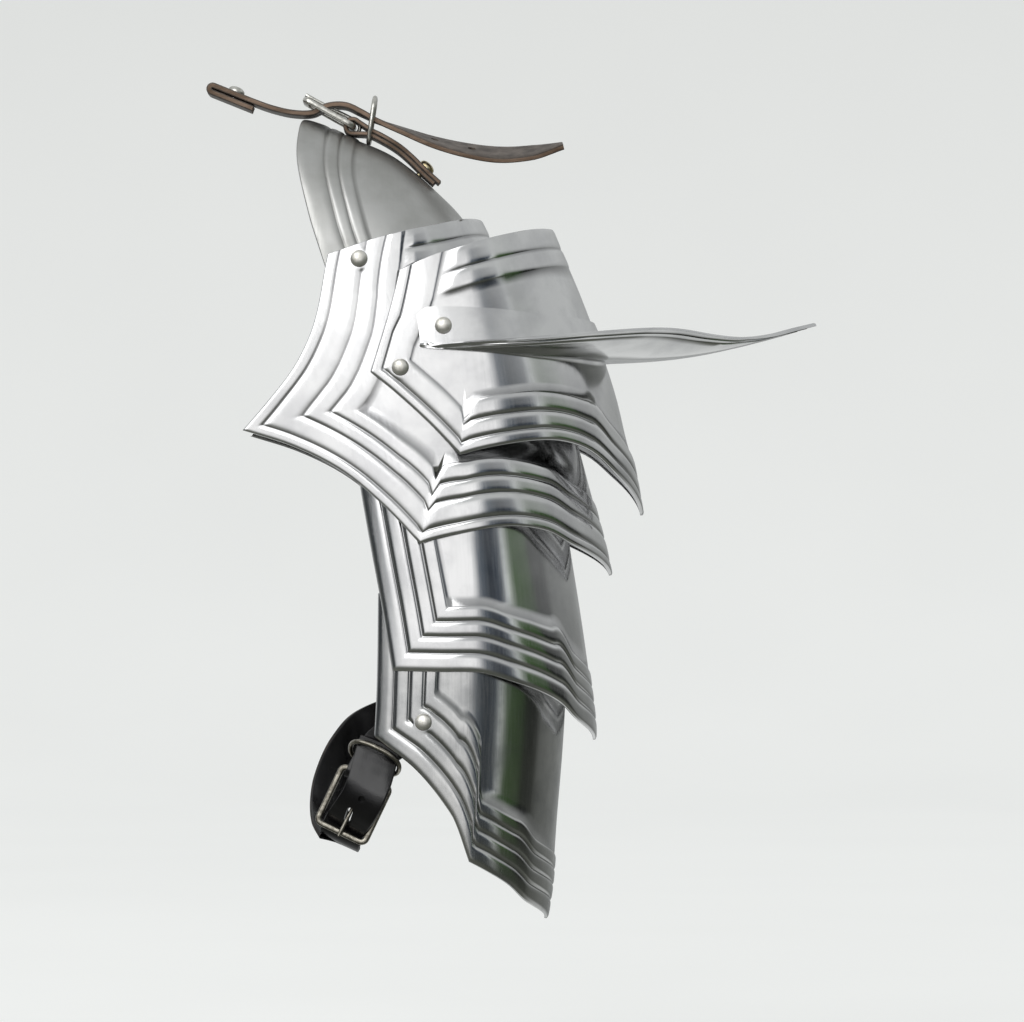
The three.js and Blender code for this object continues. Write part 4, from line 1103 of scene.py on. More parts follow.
LOWER_LAME = FlutedPlate(
    "lower_lame", 85, (8, 15, 22, 28.5), (), (14, 34), 14,
    columns(SECTION, [
        [-362, 44.3, 90.8, 53], [-345.6, 45.3, 93.4, 53.4], [-332, 46.3, 94.6, 53.8],
        [-313.5, 47.3, 95.9, 54.3], [-286, 47.8, 98.2, 54.8], [-263, 48.3, 99.6, 55],
        [-210, 48.3, 100.6, 55]]),
    top=[[(13.5, -210), (48.3, -210), (SIDE, -210)]],
    front=[[(13.5, -210), (13, -248.5), (11.7, -275.8)]],
    bottom=[
        [(11.7, -275.8), (31.1, -290.8), (47.3, -311.5), (55, -332.3)],
        [(55, -332.3), (63.6, -337), (72.7, -342.8), (81.9, -351.7), (SIDE, -360.8)]],
    # The lower lame's steel is painted greyer as shade
    quiet=[ARM_RIVET], finish=DULLED_SHADED_STEEL)


@dataclass
class ShoulderCap:
    """Cap over the shoulder: arches from front to back that step outwards and down."""

    foot: float = -78.0
    out_end: float = 64.0
    grooves: tuple[float, ...] = (12.5, 19.0, 25.5)
    flute_foot: tuple[float, float] = (-62.0, -48.0)
    arches: Columns = field(default_factory=lambda: columns("x crown half", [
        [-30, 11.5, 56.5], [-21, 9.2, 56.5], [-10, 5.6, 56.5], [0, 1.2, 56.3], [18, -6.5, 55.5],
        [30, -15, 53.5], [40, -24, 50.5], [50, -34, 46], [58, -45, 40], [64, -56, 33]]))
    neck: Columns = field(default_factory=lambda: columns("angle x", [
        [0, -5], [15, -12.3], [29, -18.5], [49, -23.8], [70, -23.2], [90, -21.2]]))
    flute: float = 0.7
    girth: float = 140.0
    around: int = 120
    rows: int = 30

    def face(self, x: float, z: float) -> float:
        """Depth of the front.

        Args:
            x: Place out along the shoulder.
            z: Height.

        Returns:
            The place of its outer face front to back.
        """
        crown = smooth(self.arches["x"], self.arches["crown"], x)
        turn = math.asin(min(1.0, (z - self.foot) / (float(crown) - self.foot)))
        return float(-smooth(self.arches["x"], self.arches["half"], x) * math.cos(turn))

    def skin(self) -> Skin:
        """Lays rows from the neck edge outwards, each an arch from front foot to back foot.

        Returns:
            The outer face.
        """
        border = flute_lines(self.grooves)
        share = np.linspace(0.0, 2.0, self.around + 1)
        angle = 90 * np.minimum(share, 2 - share)
        neck = smooth(self.neck["angle"], self.neck["x"], angle)
        turn = np.radians(angle)
        fluted = [neck + line for line in border]
        plain = [fluted[-1] + (self.out_end - fluted[-1]) * n / self.rows for n in range(1, self.rows + 1)]
        lines = np.concatenate([border, np.full(self.rows, SIDE)])
        grid, relief, painted_groove_shade, flat = [], [], [], []
        for x, line in zip(fluted + plain, lines):
            crown = smooth(self.arches["x"], self.arches["crown"], x)
            half = smooth(self.arches["x"], self.arches["half"], x)
            y = -half * np.cos(turn) * np.where(share > 1, -1.0, 1.0)
            z = self.foot + (crown - self.foot) * np.sin(turn)
            fade = smoothstep(*self.flute_foot, z)
            reach = np.full_like(x, line)
            grid.append(np.stack([x, y, z], axis=-1))
            relief.append(ridges(reach, self.grooves, self.flute) * fade)
            # Painted shade along the cap's grooves, fading out towards its foot
            painted_groove_shade.append(groove_shade(reach, self.grooves) * fade)
            flat.append(np.stack([x, share * self.girth / 2], axis=-1))
        return Skin(np.array(grid), np.array(relief), np.array(painted_groove_shade), np.array(flat))

    def build(self) -> bpy.types.Object:
        """Makes the cap in satin steel."""
        return place_sheet(self.skin(), Seat("shoulder_cap", Body.SHOULDER, "satin_steel"), SATIN_STEEL)


@dataclass
class WingFin:
    """Fin round the side: a strip riveted on the outer plate, and a blade that turns out of it."""

    stand: float = 0.3
    lean: float = 1.1
    bend: float = 2.2
    turn: float = 2.4
    sag: float = 3.6
    sag_width: float = 90.0
    grooves: tuple[float, ...] = (4.5, 9.0)
    flute_share: float = 0.8
    flute_from: tuple[float, float] = (8.0, 26.0)
    strip: Columns = field(default_factory=lambda: columns("x top join", [
        [32.2, -84, -97.2], [37.5, -80.5, -98.4], [66, -81, -100.2], [86.5, -83, -102],
        [SIDE, -86, -103.4]]))
    blade: Columns = field(default_factory=lambda: columns("x y z", [
        [32.4, -69.4, -98.2], [45, -72.2, -97.2], [56.5, -75, -96], [82.1, -78, -94.6], [113.3, -69, -91.6],
        [138.7, -51, -89.2], [153, -36, -89.1], [168.8, -21, -91], [181.9, -12, -91.9], [194.9, -6.5, -90.4],
        [207.8, -2.6, -87], [216, 0, -85]]))
    columns_half: int = 80
    strip_rows: int = 6
    bend_rows: int = 6
    blade_rows: int = 11

    def seat_on(self, a: Array, z: Array, lift: Array | float) -> Array:
        """Points that stand a lift off the outer plate, at its pattern places and heights."""
        a = np.maximum(a, 0.0)
        return OUTER_PLATE.wall(a, z) + OUTER_PLATE.facing(a, z)[0] * np.asarray(lift)[..., None]

    def skin(self) -> Skin:
        """Lays columns down the strip, round the bend and out over the blade.

        Returns:
            The upper face from the front end round to the back end.
        """
        places = np.stack([
            OUTER_PLATE.around(self.strip["x"], (self.strip["top"] + self.strip["join"]) / 2),
            self.strip["top"], self.strip["join"]], axis=1)
        a, top, join = trace(places, self.columns_half).T
        tip = trace(rows_of(self.blade), self.columns_half)
        rise = STOCK.sheet + self.stand
        root = self.seat_on(a, join, rise + self.lean + self.bend * 0.6)
        length = np.maximum(np.linalg.norm(tip - root, axis=1), 1e-6)
        width = np.minimum(1.0, 0.7 * length / self.grooves[-1])

        def out(share: Array) -> Array:
            """Points on the blade.

            Args:
                share: Shares of the way from its root to its rim.

            Returns:
                The points.
            """
            point = root + (tip - root) * share[:, None]
            point[:, 2] -= self.sag * np.minimum(1.0, length / self.sag_width) * np.sin(math.pi * share)
            return point

        rows = []
        for share in np.linspace(0.0, 1.0, self.strip_rows + 1):
            rows.append(self.seat_on(a, top + (join + self.bend - top) * share, rise + self.lean * share))
        start = rows[-1]
        turn_end = np.minimum(0.3, self.turn / length)
        stop = out(turn_end)
        corner = self.seat_on(a, join - 0.2, rise + self.lean * 1.15)
        for t in np.linspace(0.0, 1.0, self.bend_rows + 1)[1:]:
            rows.append(start * (1 - t) ** 2 + corner * 2 * t * (1 - t) + stop * t**2)
        fluted = 1 - self.grooves[-1] * width / length
        for t in np.linspace(0.0, 1.0, self.blade_rows + 1)[1:]:
            rows.append(out(turn_end + (np.maximum(fluted, turn_end) - turn_end) * t))
        heights, shades = ([np.zeros_like(a)] * len(rows) for _ in range(2))
        strength = self.flute_share * smoothstep(*self.flute_from, length)
        for line in flute_lines(self.grooves)[::-1][1:]:
            rows.append(out(1 - line * width / length))
            reach = np.full_like(a, line)
            heights.append(ridges(reach, self.grooves, STOCK.flute) * strength)
            # Painted shade along the blade's grooves
            shades.append(groove_shade(reach, self.grooves) * strength)
        across = np.arange(len(rows))[:, None] * 2.0
        flat = np.stack(np.broadcast_arrays(running(tip)[None, :], across), axis=-1)
        return whole_skin(np.array(rows), np.array(heights), np.array(shades), flat)

    def build(self) -> bpy.types.Object:
        """Makes the fin in buffed steel."""
        return place_sheet(self.skin(), Seat("wing_fin", Body.ARM, "polished_steel"), POLISHED_STEEL)


@dataclass(frozen=True)
class BuckleAxes:
    """Axes of a buckle: p from heel bar to end bar, q out of the strap's face, r across it."""

    heel: Array
    p: Array
    q: Array
    r: Array

    @staticmethod
    def along(heel: Array, run: Array, outward: Array) -> "BuckleAxes":
        """Sets the axes up.

        Args:
            heel: Middle of the heel bar.
            run: Direction to the end bar.
            outward: Direction out of the strap's face.

        Returns:
            The axes.
        """
        p = unit(np.asarray(run, float))
        q = unit(np.asarray(outward, float) - p * np.dot(outward, p))
        return BuckleAxes(np.asarray(heel, float), p, q, np.cross(q, p))

    def place(self, u: Array | float, v: Array | float, w: Array | float = 0.0) -> Array:
        """Points at distances along p, q and r."""
        u, v, w = np.broadcast_arrays(u, v, w)
        return self.heel + u[..., None] * self.p + v[..., None] * self.q + w[..., None] * self.r

    def slot(self, start: float, stop: float, half: float, low: float, high: float) -> PieceMesh:
        """Punch for the tongue's slot, with round ends.

        Args:
            start: Where it starts along p.
            stop: Where it stops along p.
            half: Half its width.
            low: Its lowest place along q.
            high: Its highest place along q.

        Returns:
            The punch.
        """
        turn = np.linspace(-math.pi / 2, math.pi / 2, 9)
        u = np.concatenate([stop - half + half * np.cos(turn), start + half - half * np.cos(turn)])
        w = np.concatenate([half * np.sin(turn), -half * np.sin(turn)])
        points = np.concatenate([self.place(u, low, w), self.place(u, high, w)])
        count = len(u)
        faces = [(n, (n + 1) % count, count + (n + 1) % count, count + n) for n in range(count)]
        faces += [tuple(range(count))[::-1], tuple(range(count, 2 * count))]
        return PieceMesh(points, faces)


@dataclass
class BuckleSet:
    """A buckle with its tongue, keeper and folded chape, on either strap."""

    prefix: str
    body: Body
    axes: BuckleAxes
    length: float
    leather: Leather
    edge: Leather
    slot: str
    metal: CastMetal
    round_keeper: float = 3.4
    corner: float = 2.4
    bar_power: float = 3.2
    eye_start: float = 6.5
    eye_turn: tuple[float, float] = (62.0, 298.0)
    eye_slot: tuple[float, ...] = (-5.5, 6.0, 1.7, -7.0, 7.0)
    layer_play: float = 0.05
    chape_steps: int = 150
    tongue_steps: int = 70
    keeper_steps: int = 96

    def fit(self, part: str, mesh: PieceMesh) -> bpy.types.Object:
        """Makes a metal part of the buckle."""
        seat = Seat(f"{self.prefix}_{part}", self.body, "nickel")
        return place_piece(f"{seat.node}_nickel", mesh, seat, [self.metal])

    def frame(self) -> bpy.types.Object:
        """Makes the rectangular frame from bar with rounded corners.

        Returns:
            The object.
        """
        half = STOCK.buckle_inside / 2 + STOCK.wire
        corners = ((self.length, -half), (self.length, half), (0.0, half), (0.0, -half))
        path = []
        for turn, (u, w) in enumerate(corners):
            cu = u - self.corner if u else self.corner
            cw = w - math.copysign(self.corner, w)
            for angle in np.radians(np.linspace(-90, 0, 7) + 90 * turn):
                path.append((cu + self.corner * math.cos(angle), cw + self.corner * math.sin(angle)))
        places = np.array(path)
        fine = []
        for a, b in zip(places, np.roll(places, -1, axis=0)):
            steps = max(1, int(np.linalg.norm(b - a) / 1.5))
            fine += [a + (b - a) * n / steps for n in range(steps)]
        u, w = np.array(fine).T
        centre = self.axes.place(u, 0.0, w)
        across = np.broadcast_to(self.axes.q, centre.shape)
        section = wire_section(STOCK.wire, self.bar_power, 20)
        return self.fit("buckle", sweep(centre, across, section, ring=True))

    def tongue(self, axes: BuckleAxes) -> bpy.types.Object:
        """Makes the tongue: hooked round the heel bar and resting on the end bar.

        Args:
            axes: Where it lies.

        Returns:
            The object.
        """
        loop = STOCK.wire * math.sqrt(2) + STOCK.clear + STOCK.tongue_wire
        rest = STOCK.wire + STOCK.clear + STOCK.tongue_wire
        course = [(self.length + 1.8, rest), (self.length - 4, rest), (self.length / 2, rest + 0.2),
                  (5.0, loop)]
        for angle in np.radians(np.arange(90, 301, 30)):
            course.append((loop * math.cos(angle), loop * math.sin(angle)))
        route = trace(np.array(course), self.tongue_steps)
        centre = axes.place(route[:, 0], route[:, 1])
        scale = np.ones(len(centre))
        scale[:3] = (0.55, 0.8, 0.93)
        across = np.broadcast_to(axes.r, centre.shape)
        section = wire_section(STOCK.tongue_wire, 2.3, 14)
        return self.fit("tongue", sweep(centre, across, section, scale=scale))

    def keeper(self, centre: Array, across: Array, up: Array, wide: float, tall: float) -> bpy.types.Object:
        """Makes the wire keeper round the strap.

        Args:
            centre: Its middle.
            across: Direction across the strap.
            up: Direction through the strap.
            wide: Half its width.
            tall: Half its height.

        Returns:
            The object.
        """
        turn = np.linspace(0, 2 * math.pi, self.keeper_steps, endpoint=False)
        c, s = np.cos(turn), np.sin(turn)
        power = self.round_keeper
        reach = (np.abs(c) ** power + np.abs(s) ** power) ** (-1 / power)
        path = centre + np.outer(wide * reach * c, across) + np.outer(tall * reach * s, up)
        axis = np.broadcast_to(np.cross(across, up), path.shape)
        return self.fit("keeper", sweep(path, axis, wire_section(STOCK.keeper_wire, 2.0, 14), ring=True))

    def chape(self, course: Array, tongue: BuckleAxes) -> bpy.types.Object:
        """Makes the chape: one strip folded round the heel bar, its two layers lying on each other.

        Args:
            course: Middle line of the two layers, from the heel bar.
            tongue: Where the tongue lies, which needs a slot.

        Returns:
            The object.
        """
        outward, across = self.axes.q, self.axes.r
        line = trace(course, 60)
        away = line[np.linalg.norm(line - line[0], axis=1) > self.eye_start]
        run = unit(np.gradient(away, axis=0))
        normal = unit(outward - run * (run @ outward)[:, None])
        layer = STOCK.chape_layer / 2 + self.layer_play
        upper, lower = away + normal * layer, away - normal * layer
        radius = STOCK.eye + layer
        start = unit(away[0] - line[0])
        up = unit(outward - start * np.dot(outward, start))
        turn = np.radians(np.linspace(*self.eye_turn, 17))
        eye = line[0] + radius * (np.cos(turn)[:, None] * start + np.sin(turn)[:, None] * up)
        path = trace(np.concatenate([upper[::-3][:-1], eye, lower[1::3]]), self.chape_steps)
        section = band_section(STOCK.chape_width, STOCK.chape_layer)
        mesh = sweep(path, np.broadcast_to(across, path.shape), section)
        seat = Seat(f"{self.prefix}_chape", self.body, self.slot)
        made = place_piece(f"{self.prefix}_chape_leather", mesh, seat, [self.leather, self.edge])
        punch(made, [tongue.slot(*self.eye_slot)])
        return made


@dataclass
class ShoulderStrap:
    """Strap over the shoulder: riveted fold, buckle on the cap's crown and long free end."""

    heel: tuple[float, float, float] = (1.2, 0.0, 6.0)
    end: tuple[float, float, float] = (-20.4, 0.0, 18.0)
    layers: float = 3.2
    fold: float = 20.5
    rivet: float = 10.2
    course: Columns = field(default_factory=lambda: columns("x z tilt width", [
        [-63, 24.7, 0, 1], [-53.5, 20.9, 0, 1], [-44, 17.1, 0, 1], [-36, 14.3, 0, 1], [-26.5, 12.2, 0, 1],
        [-17.5, 12.2, 0, 1], [-10, 15.6, 0, 1], [-2, 15.8, 0, 1], [5.2, 12.6, 0, 1], [12.4, 9, 3, 1],
        [24.4, 4.4, 8, 1], [38.8, -0.8, 14, 1], [54, -4.6, 18, 1], [69.2, -6.6, 20, 1], [84.4, -5.6, 18, 1],
        [98.8, -2.4, 16, 0.3]]))
    chape_course: Columns = field(default_factory=lambda: columns("x z", [
        [1.2, 6], [7, 4], [12.4, 1.8], [22, -3.8], [28.4, -9.2], [34, -14.8], [40.6, -20.8]]))
    chape_rivet: float = 33.6
    chape_stack: float = 2.2
    keeper_foot: tuple[float, float, float] = (8.5, 0.0, -1.3)
    keeper_top: tuple[float, float, float] = (11.5, 0.0, 19.5)
    holes: tuple[float, ...] = (38.8, 56.0)
    hole_radius: float = 1.9
    hole_reach: float = 6.0
    hole_lean: float = 0.26
    tongue_slot: tuple[float, ...] = (9.5, 20.0, 1.7, -8.0, 9.0)
    keeper_play: float = 0.8
    steps: int = 150

    def axes(self) -> BuckleAxes:
        """Axes of the buckle."""
        heel, end = np.array(self.heel), np.array(self.end)
        return BuckleAxes.along(heel, end - heel, np.array([0.0, 0.0, 1.0]))

    def fold_place(self, s: float, h: float) -> Array:
        """A place on the folded end.

        Args:
            s: Distance along it from the fold.
            h: Height above the upper layer's middle.

        Returns:
            The place.
        """
        x, z = self.course["x"], self.course["z"]
        start = np.array([x[0], 0.0, z[0]])
        run = unit(np.array([x[1] - x[0], 0.0, z[1] - z[0]]))
        return start + run * s + np.array([-run[2], 0.0, run[0]]) * h

    def strap(self) -> bpy.types.Object:
        """Makes the strap with its fold, its tongue slot and its punched holes.

        Returns:
            The object.
        """
        fold = [self.fold_place(s, -self.layers) for s in np.linspace(self.fold, 0.0, 9)]
        for angle in np.radians(np.arange(20, 161, 20)):
            reach = -self.layers / 2
            fold.append(self.fold_place(reach * math.sin(angle), reach * (1 + math.cos(angle))))
        run = trace(rows_of(self.course), self.steps)
        path = np.concatenate([np.array(fold), np.stack([run[:, 0], 0 * run[:, 0], run[:, 1]], axis=1)])
        tilt = np.radians(np.concatenate([np.zeros(len(fold)), run[:, 2]]))
        width = np.concatenate([np.ones(len(fold)), np.minimum(1.0, run[:, 3])])
        across = np.stack([0 * tilt, np.cos(tilt), np.sin(tilt)], axis=1)
        mesh = sweep(path, across, band_section(STOCK.strap_width, STOCK.strap_thick), scale=width)
        seat = Seat("shoulder_strap", Body.SHOULDER, "brown_leather")
        made = place_piece("shoulder_strap_leather", mesh, seat, [BROWN_LEATHER, CUT_EDGE])
        punches = [self.axes().slot(*self.tongue_slot)]
        for x in self.holes:
            z = float(smooth(self.course["x"], self.course["z"], x))
            lean = math.radians(float(smooth(self.course["x"], self.course["tilt"], x)))
            through = unit(np.array([self.hole_lean, -math.sin(lean), math.cos(lean)]))
            punches.append(round_punch(
                np.array([x, 0.0, z]), through, self.hole_radius, -self.hole_reach, self.hole_reach))
        punch(made, punches)
        return made

    def build(self) -> None:
        """Makes the strap, its buckle and its rivets."""
        axes = self.axes()
        length = float(np.linalg.norm(np.array(self.end) - np.array(self.heel)))
        buckle = BuckleSet(
            "shoulder", Body.SHOULDER, axes, length, BROWN_LEATHER, CUT_EDGE, "brown_leather", NICKEL)
        self.strap()
        buckle.frame()
        buckle.tongue(axes)
        foot, top = np.array(self.keeper_foot), np.array(self.keeper_top)
        wide = STOCK.strap_width / 2 + self.keeper_play + STOCK.keeper_wire
        tall = float(np.linalg.norm(top - foot)) / 2
        buckle.keeper((foot + top) / 2, np.array([0.0, 1.0, 0.0]), unit(top - foot), wide, tall)
        x, z = self.chape_course.values()
        buckle.chape(np.stack([x, 0 * x, z], axis=1), axes)
        self.rivets()

    def rivets(self) -> None:
        """Makes the brass rivet of the chape and the flush-ended rivet of the fold."""
        near = self.chape_rivet + np.array([-NEAR, NEAR, 0.0])
        fall = smooth(*self.chape_course.values(), near)
        run = unit(np.array([1.0, 0.0, fall[1] - fall[0]]))
        normal = np.array([-run[2], 0.0, run[0]])
        at = np.array([self.chape_rivet, 0.0, fall[2]]) + normal * STOCK.chape_half
        domed = Rivet(at, normal, 2 * STOCK.chape_half + self.chape_stack)
        domed.build(Seat("chape_rivet", Body.SHOULDER, "brass"), BRASS)
        top = self.fold_place(self.rivet, STOCK.strap_thick / 2)
        up = unit(self.fold_place(0.0, 1.0) - self.fold_place(0.0, 0.0))
        flush = Rivet(top, up, self.layers + STOCK.strap_thick, flush=True)
        flush.build(Seat("strap_rivet", Body.SHOULDER, "nickel"), NICKEL)


@dataclass(frozen=True)
class Rivet:
    """A domed rivet: head on the outer face, and tail closed on the innermost one."""

    at: Array
    normal: Array
    depth: float
    flush: bool = False

    def mesh(self) -> PieceMesh:
        """Turns the rivet: a raised dome on a short land, the shank and the hammered tail.

        Returns:
            The mesh.
        """
        head, rise, shank = STOCK.rivet_head, STOCK.rivet_rise, STOCK.rivet_shank
        land, low = STOCK.clear + STOCK.rivet_land, 0.02
        dome = [(shank, low), (head, low), (head, land)]
        for angle in np.radians(np.arange(15, 90, 10)):
            lift = (rise - STOCK.rivet_land) * math.sin(angle)
            dome.append((head * math.cos(angle) ** 0.9, land + lift))
        dome.append((0.0, STOCK.clear + rise))
        if self.flush:
            end = -self.depth + STOCK.clear
            foot = [(0.0, end), (shank, end)]
        else:
            end, tail, tall = -self.depth - STOCK.clear, STOCK.rivet_tail, STOCK.rivet_foot
            foot = [(0.0, end - tall), (tail * 0.7, end - tall + 0.05), (tail, end - tall + 0.5),
                    (tail, end), (shank, end)]
        return lathe(np.array(foot + dome), self.at, self.normal)

    def build(self, seat: Seat, finish: CastMetal, half: Half = Half.FRONT) -> bpy.types.Object:
        """Makes the rivet in a metal, on the front or mirrored to the back."""
        mesh = self.mesh() if half is Half.FRONT else mirrored(self.mesh())
        return place_piece(f"{seat.node}_head", mesh, seat, [finish], sharp=RIVET_SHARP)


@dataclass
class PlateRivets:
    """Rivets through the plates, in pairs on the front and the back."""

    cap: ShoulderCap
    pivot_play: float = 0.6
    fin_lean: float = 0.5
    arm_under: float = 10.6
    arm_seat: float = 4.1

    @staticmethod
    def depth_to(face: Callable[[float, float], float], at: Array, normal: Array) -> float:
        """Depth along a rivet's axis to the face of a plate behind.

        Args:
            face: Function of x and z that gives that face's depth.
            at: Where the rivet sits.
            normal: Its axis.

        Returns:
            The depth.
        """
        near, far = 0.0, 30.0
        for _ in range(40):
            middle = (near + far) / 2
            point = at - normal * middle
            near, far = (middle, far) if point[1] < face(point[0], point[2]) else (near, middle)
        return near

    def build(self) -> None:
        """Makes all the pairs."""
        sheet, flute, clear = STOCK.sheet, STOCK.flute, STOCK.clear
        leather = STOCK.leather_gap + STOCK.leather_thick

        def main_face(x: float, z: float) -> float:
            """Depth of the main plate's front."""
            return float(MAIN_PLATE.wall(MAIN_PLATE.around(x, z), z)[1])

        pivot = MAIN_PLATE.spot(*PIVOT, -MAIN_PLATE.front_flute)
        plate = OUTER_PLATE.spot(*PLATE_RIVET, -OUTER_PLATE.front_flute)
        fin = OUTER_PLATE.spot(*FIN_RIVET, -sheet - clear - self.fin_lean)
        lame = UPPER_LAME.spot(*LAME_RIVET, -flute)
        arm = LOWER_LAME.spot(*ARM_RIVET, -flute)
        deep = self.depth_to(self.cap.face, *pivot[:2]) + sheet + self.pivot_play
        joined = self.depth_to(main_face, *plate[:2]) + sheet + leather
        through_fin = 2 * sheet + clear + self.fin_lean
        through_lame = flute + sheet + leather
        front_arm = flute + sheet + self.arm_under - self.arm_seat + STOCK.chape_half + clear
        back_arm = through_lame + 2 * clear + STOCK.strap_thick
        pairs = {
            "pivot_rivet": (pivot, deep, deep),
            "plate_rivet": (plate, joined, joined),
            "fin_rivet": (fin, through_fin, through_fin),
            "lame_rivet": (lame, through_lame, through_lame),
            "arm_rivet": (arm, front_arm, back_arm),
        }
        for name, ((at, normal, _), front, back) in pairs.items():
            for half, depth in ((Half.FRONT, front), (Half.BACK, back)):
                seat = Seat(f"{name}_{half.value}", Body.ARM, "nickel")
                Rivet(at, normal, depth).build(seat, RIVET_NICKEL, half)


@dataclass
class InnerLeathers:
    """Leathers behind the plates that the lames hang on, one in front and one at the back."""

    course: tuple[tuple[float, float, FlutedPlate, float], ...] = (
        (23.2, -99, MAIN_PLATE, 0.7), (23.8, -107.7, MAIN_PLATE, 0.7), (24.6, -116, MAIN_PLATE, 0.7),
        (28, -145, UPPER_LAME, 1.0), (30, -166, UPPER_LAME, 0.7), (31, -180, UPPER_LAME, 0.7),
        (32, -206, LOWER_LAME, 0.7), (33.2, -235, LOWER_LAME, 0.7), (34.3, -268.7, LOWER_LAME, 0.7),
        (34.6, -277, LOWER_LAME, 0.7))
    steps: int = 80

    def build(self) -> None:
        """Makes both leathers."""
        rows = []
        for x, z, plate, behind in self.course:
            at, _, level = plate.spot(x, z, STOCK.sheet + behind + STOCK.leather_thick / 2)
            rows.append(np.concatenate([at, level]))
        fine = trace(np.array(rows), self.steps)
        mesh = sweep(fine[:, :3], fine[:, 3:], band_section(STOCK.leather_width, STOCK.leather_thick))
        for half in Half:
            name = f"inner_leather_{half.value}"
            seat = Seat(name, Body.ARM, "brown_leather")
            shape = mesh if half is Half.FRONT else mirrored(mesh)
            place_piece(f"{name}_band", shape, seat, [BROWN_LEATHER, CUT_EDGE])


@dataclass
class ArmStrap:
    """Strap round the arm: chape cut aslant from the lower lame, buckle in front, loop to the back."""

    back: float = 34.2
    aside: float = 14.5
    length: float = 28.0
    under: float = 10.6
    down: tuple[float, float, float] = (-0.43, 0.0, -0.903)
    chape_course: Columns = field(default_factory=lambda: columns("p q r", [
        [0, 0, 0], [-8, 0.1, 0], [-11.5, 0.3, 0], [-16, 0.7, 1], [-22, 1.9, 4.6], [-28, 3.3, 9.8],
        [-34.2, 4.1, 14.5], [-39, 4.3, 18]]))
    tail: Columns = field(default_factory=lambda: columns("p q r roll", [
        [-17, 4.6, 0, 0], [-12, 4.6, 0.4, 0], [-6, 6.6, 1.8, 2], [0, 8.6, 3.2, 4], [5, 9.2, 3.8, 6],
        [10, 8.4, 3.8, 7], [15, 6.2, 3.0, 7], [20, 2.2, 1.6, 6], [25, -2.4, 0.3, 4], [28.5, -4.8, 0.1, 2],
        [31, -7.5, 0, 0], [32.2, -11, 0, 0]]))
    loop: Columns = field(default_factory=lambda: columns("x y z", [
        [-8, -18, -318], [-9.5, -4, -311], [-9, 10, -300], [-4.5, 25, -286], [4, 37, -276]]))
    ends: tuple[float, ...] = (19.0, 34.3, 42.0)
    keeper: tuple[float, float, float] = (-9.5, 2.9, 8.0)
    keeper_lean: float = 0.75
    askew: tuple[float, float] = (1.0, 0.4)
    hole: tuple[float, float, float] = (9.5, 8.5, 3.8)
    hole_radius: float = 1.7
    hole_span: tuple[float, float] = (-0.5, 6.0)
    hole_lean: float = 0.3
    tongue_slot: tuple[float, ...] = (15.5, 22.5, 1.5, -4.0, 12.0)
    keeper_play: float = 1.2
    turned_by: float = 0.75
    tail_steps: int = 90
    loop_steps: int = 110

    def axes(self) -> BuckleAxes:
        """Axes of the buckle, which hangs from the lower lame's rivet.

        Returns:
            The axes.
        """
        at, normal, _ = LOWER_LAME.spot(*ARM_RIVET, STOCK.sheet)
        flat = BuckleAxes.along(at, np.array(self.down), normal)
        return BuckleAxes.along(flat.place(self.back, -self.under, -self.aside), flat.p, normal)

    def strap(self, axes: BuckleAxes, tongue: BuckleAxes) -> bpy.types.Object:
        """Makes the strap: over the heel bar, under the end bar and round inside to the back rivet.

        Args:
            axes: The buckle's axes.
            tongue: Where the tongue lies, which comes out through a hole.

        Returns:
            The object.
        """
        route = trace(rows_of(self.tail), self.tail_steps)
        tail = axes.place(*route[:, :3].T)
        lean = np.radians(route[:, 3:])
        leather = STOCK.leather_gap + STOCK.leather_thick
        deep = STOCK.sheet + leather + STOCK.clear + STOCK.strap_thick / 2
        last = []
        for x in self.ends:
            at, _, _ = LOWER_LAME.spot(x, ARM_RIVET[1], deep + (1.0 if x < ARM_RIVET[0] else 0.0))
            last.append(at * TO_BACK)
        course = np.concatenate([tail[-1:], rows_of(self.loop), np.array(last)])
        loop = trace(course, self.loop_steps)[1:]
        share = smoothstep(0.0, self.turned_by, np.arange(1, len(loop) + 1) / len(loop))[:, None]
        across = np.concatenate([
            axes.r * np.cos(lean) + axes.q * np.sin(lean),
            axes.r * (1 - share) + np.array([0.0, 0.0, -1.0]) * share])
        section = band_section(STOCK.strap_width, STOCK.strap_thick)
        mesh = sweep(np.concatenate([tail, loop]), across, section)
        seat = Seat("arm_strap", Body.ARM, "black_leather")
        made = place_piece("arm_strap_leather", mesh, seat, [BLACK_LEATHER, DARK_EDGE])
        # The spare hole stops short of the far face, so that it reads dark as it does over a second layer.
        through = unit(axes.q + self.hole_lean * axes.p)
        spare = round_punch(axes.place(*self.hole), through, self.hole_radius, *self.hole_span)
        punch(made, [tongue.slot(*self.tongue_slot), spare])
        return made

    def build(self) -> None:
        """Makes the strap and its buckle."""
        axes = self.axes()
        # The arm buckle's nickel is painted dark as shade
        buckle = BuckleSet(
            "arm", Body.ARM, axes, self.length, BLACK_LEATHER, DARK_EDGE, "black_leather", SHADED_NICKEL, 2.5)
        start, stop = axes.place(0.0, 0.0, self.askew[0]), axes.place(self.length, 0.0, self.askew[1])
        tongue = BuckleAxes.along(start, stop - start, axes.q)
        self.strap(axes, tongue)
        buckle.frame()
        buckle.tongue(tongue)
        p, q, tall = self.keeper
        wide = STOCK.strap_width / 2 + self.keeper_play + STOCK.keeper_wire
        buckle.keeper(axes.place(p, q), axes.r, unit(axes.q - self.keeper_lean * axes.p), wide, tall)
        buckle.chape(axes.place(*self.chape_course.values()), tongue)


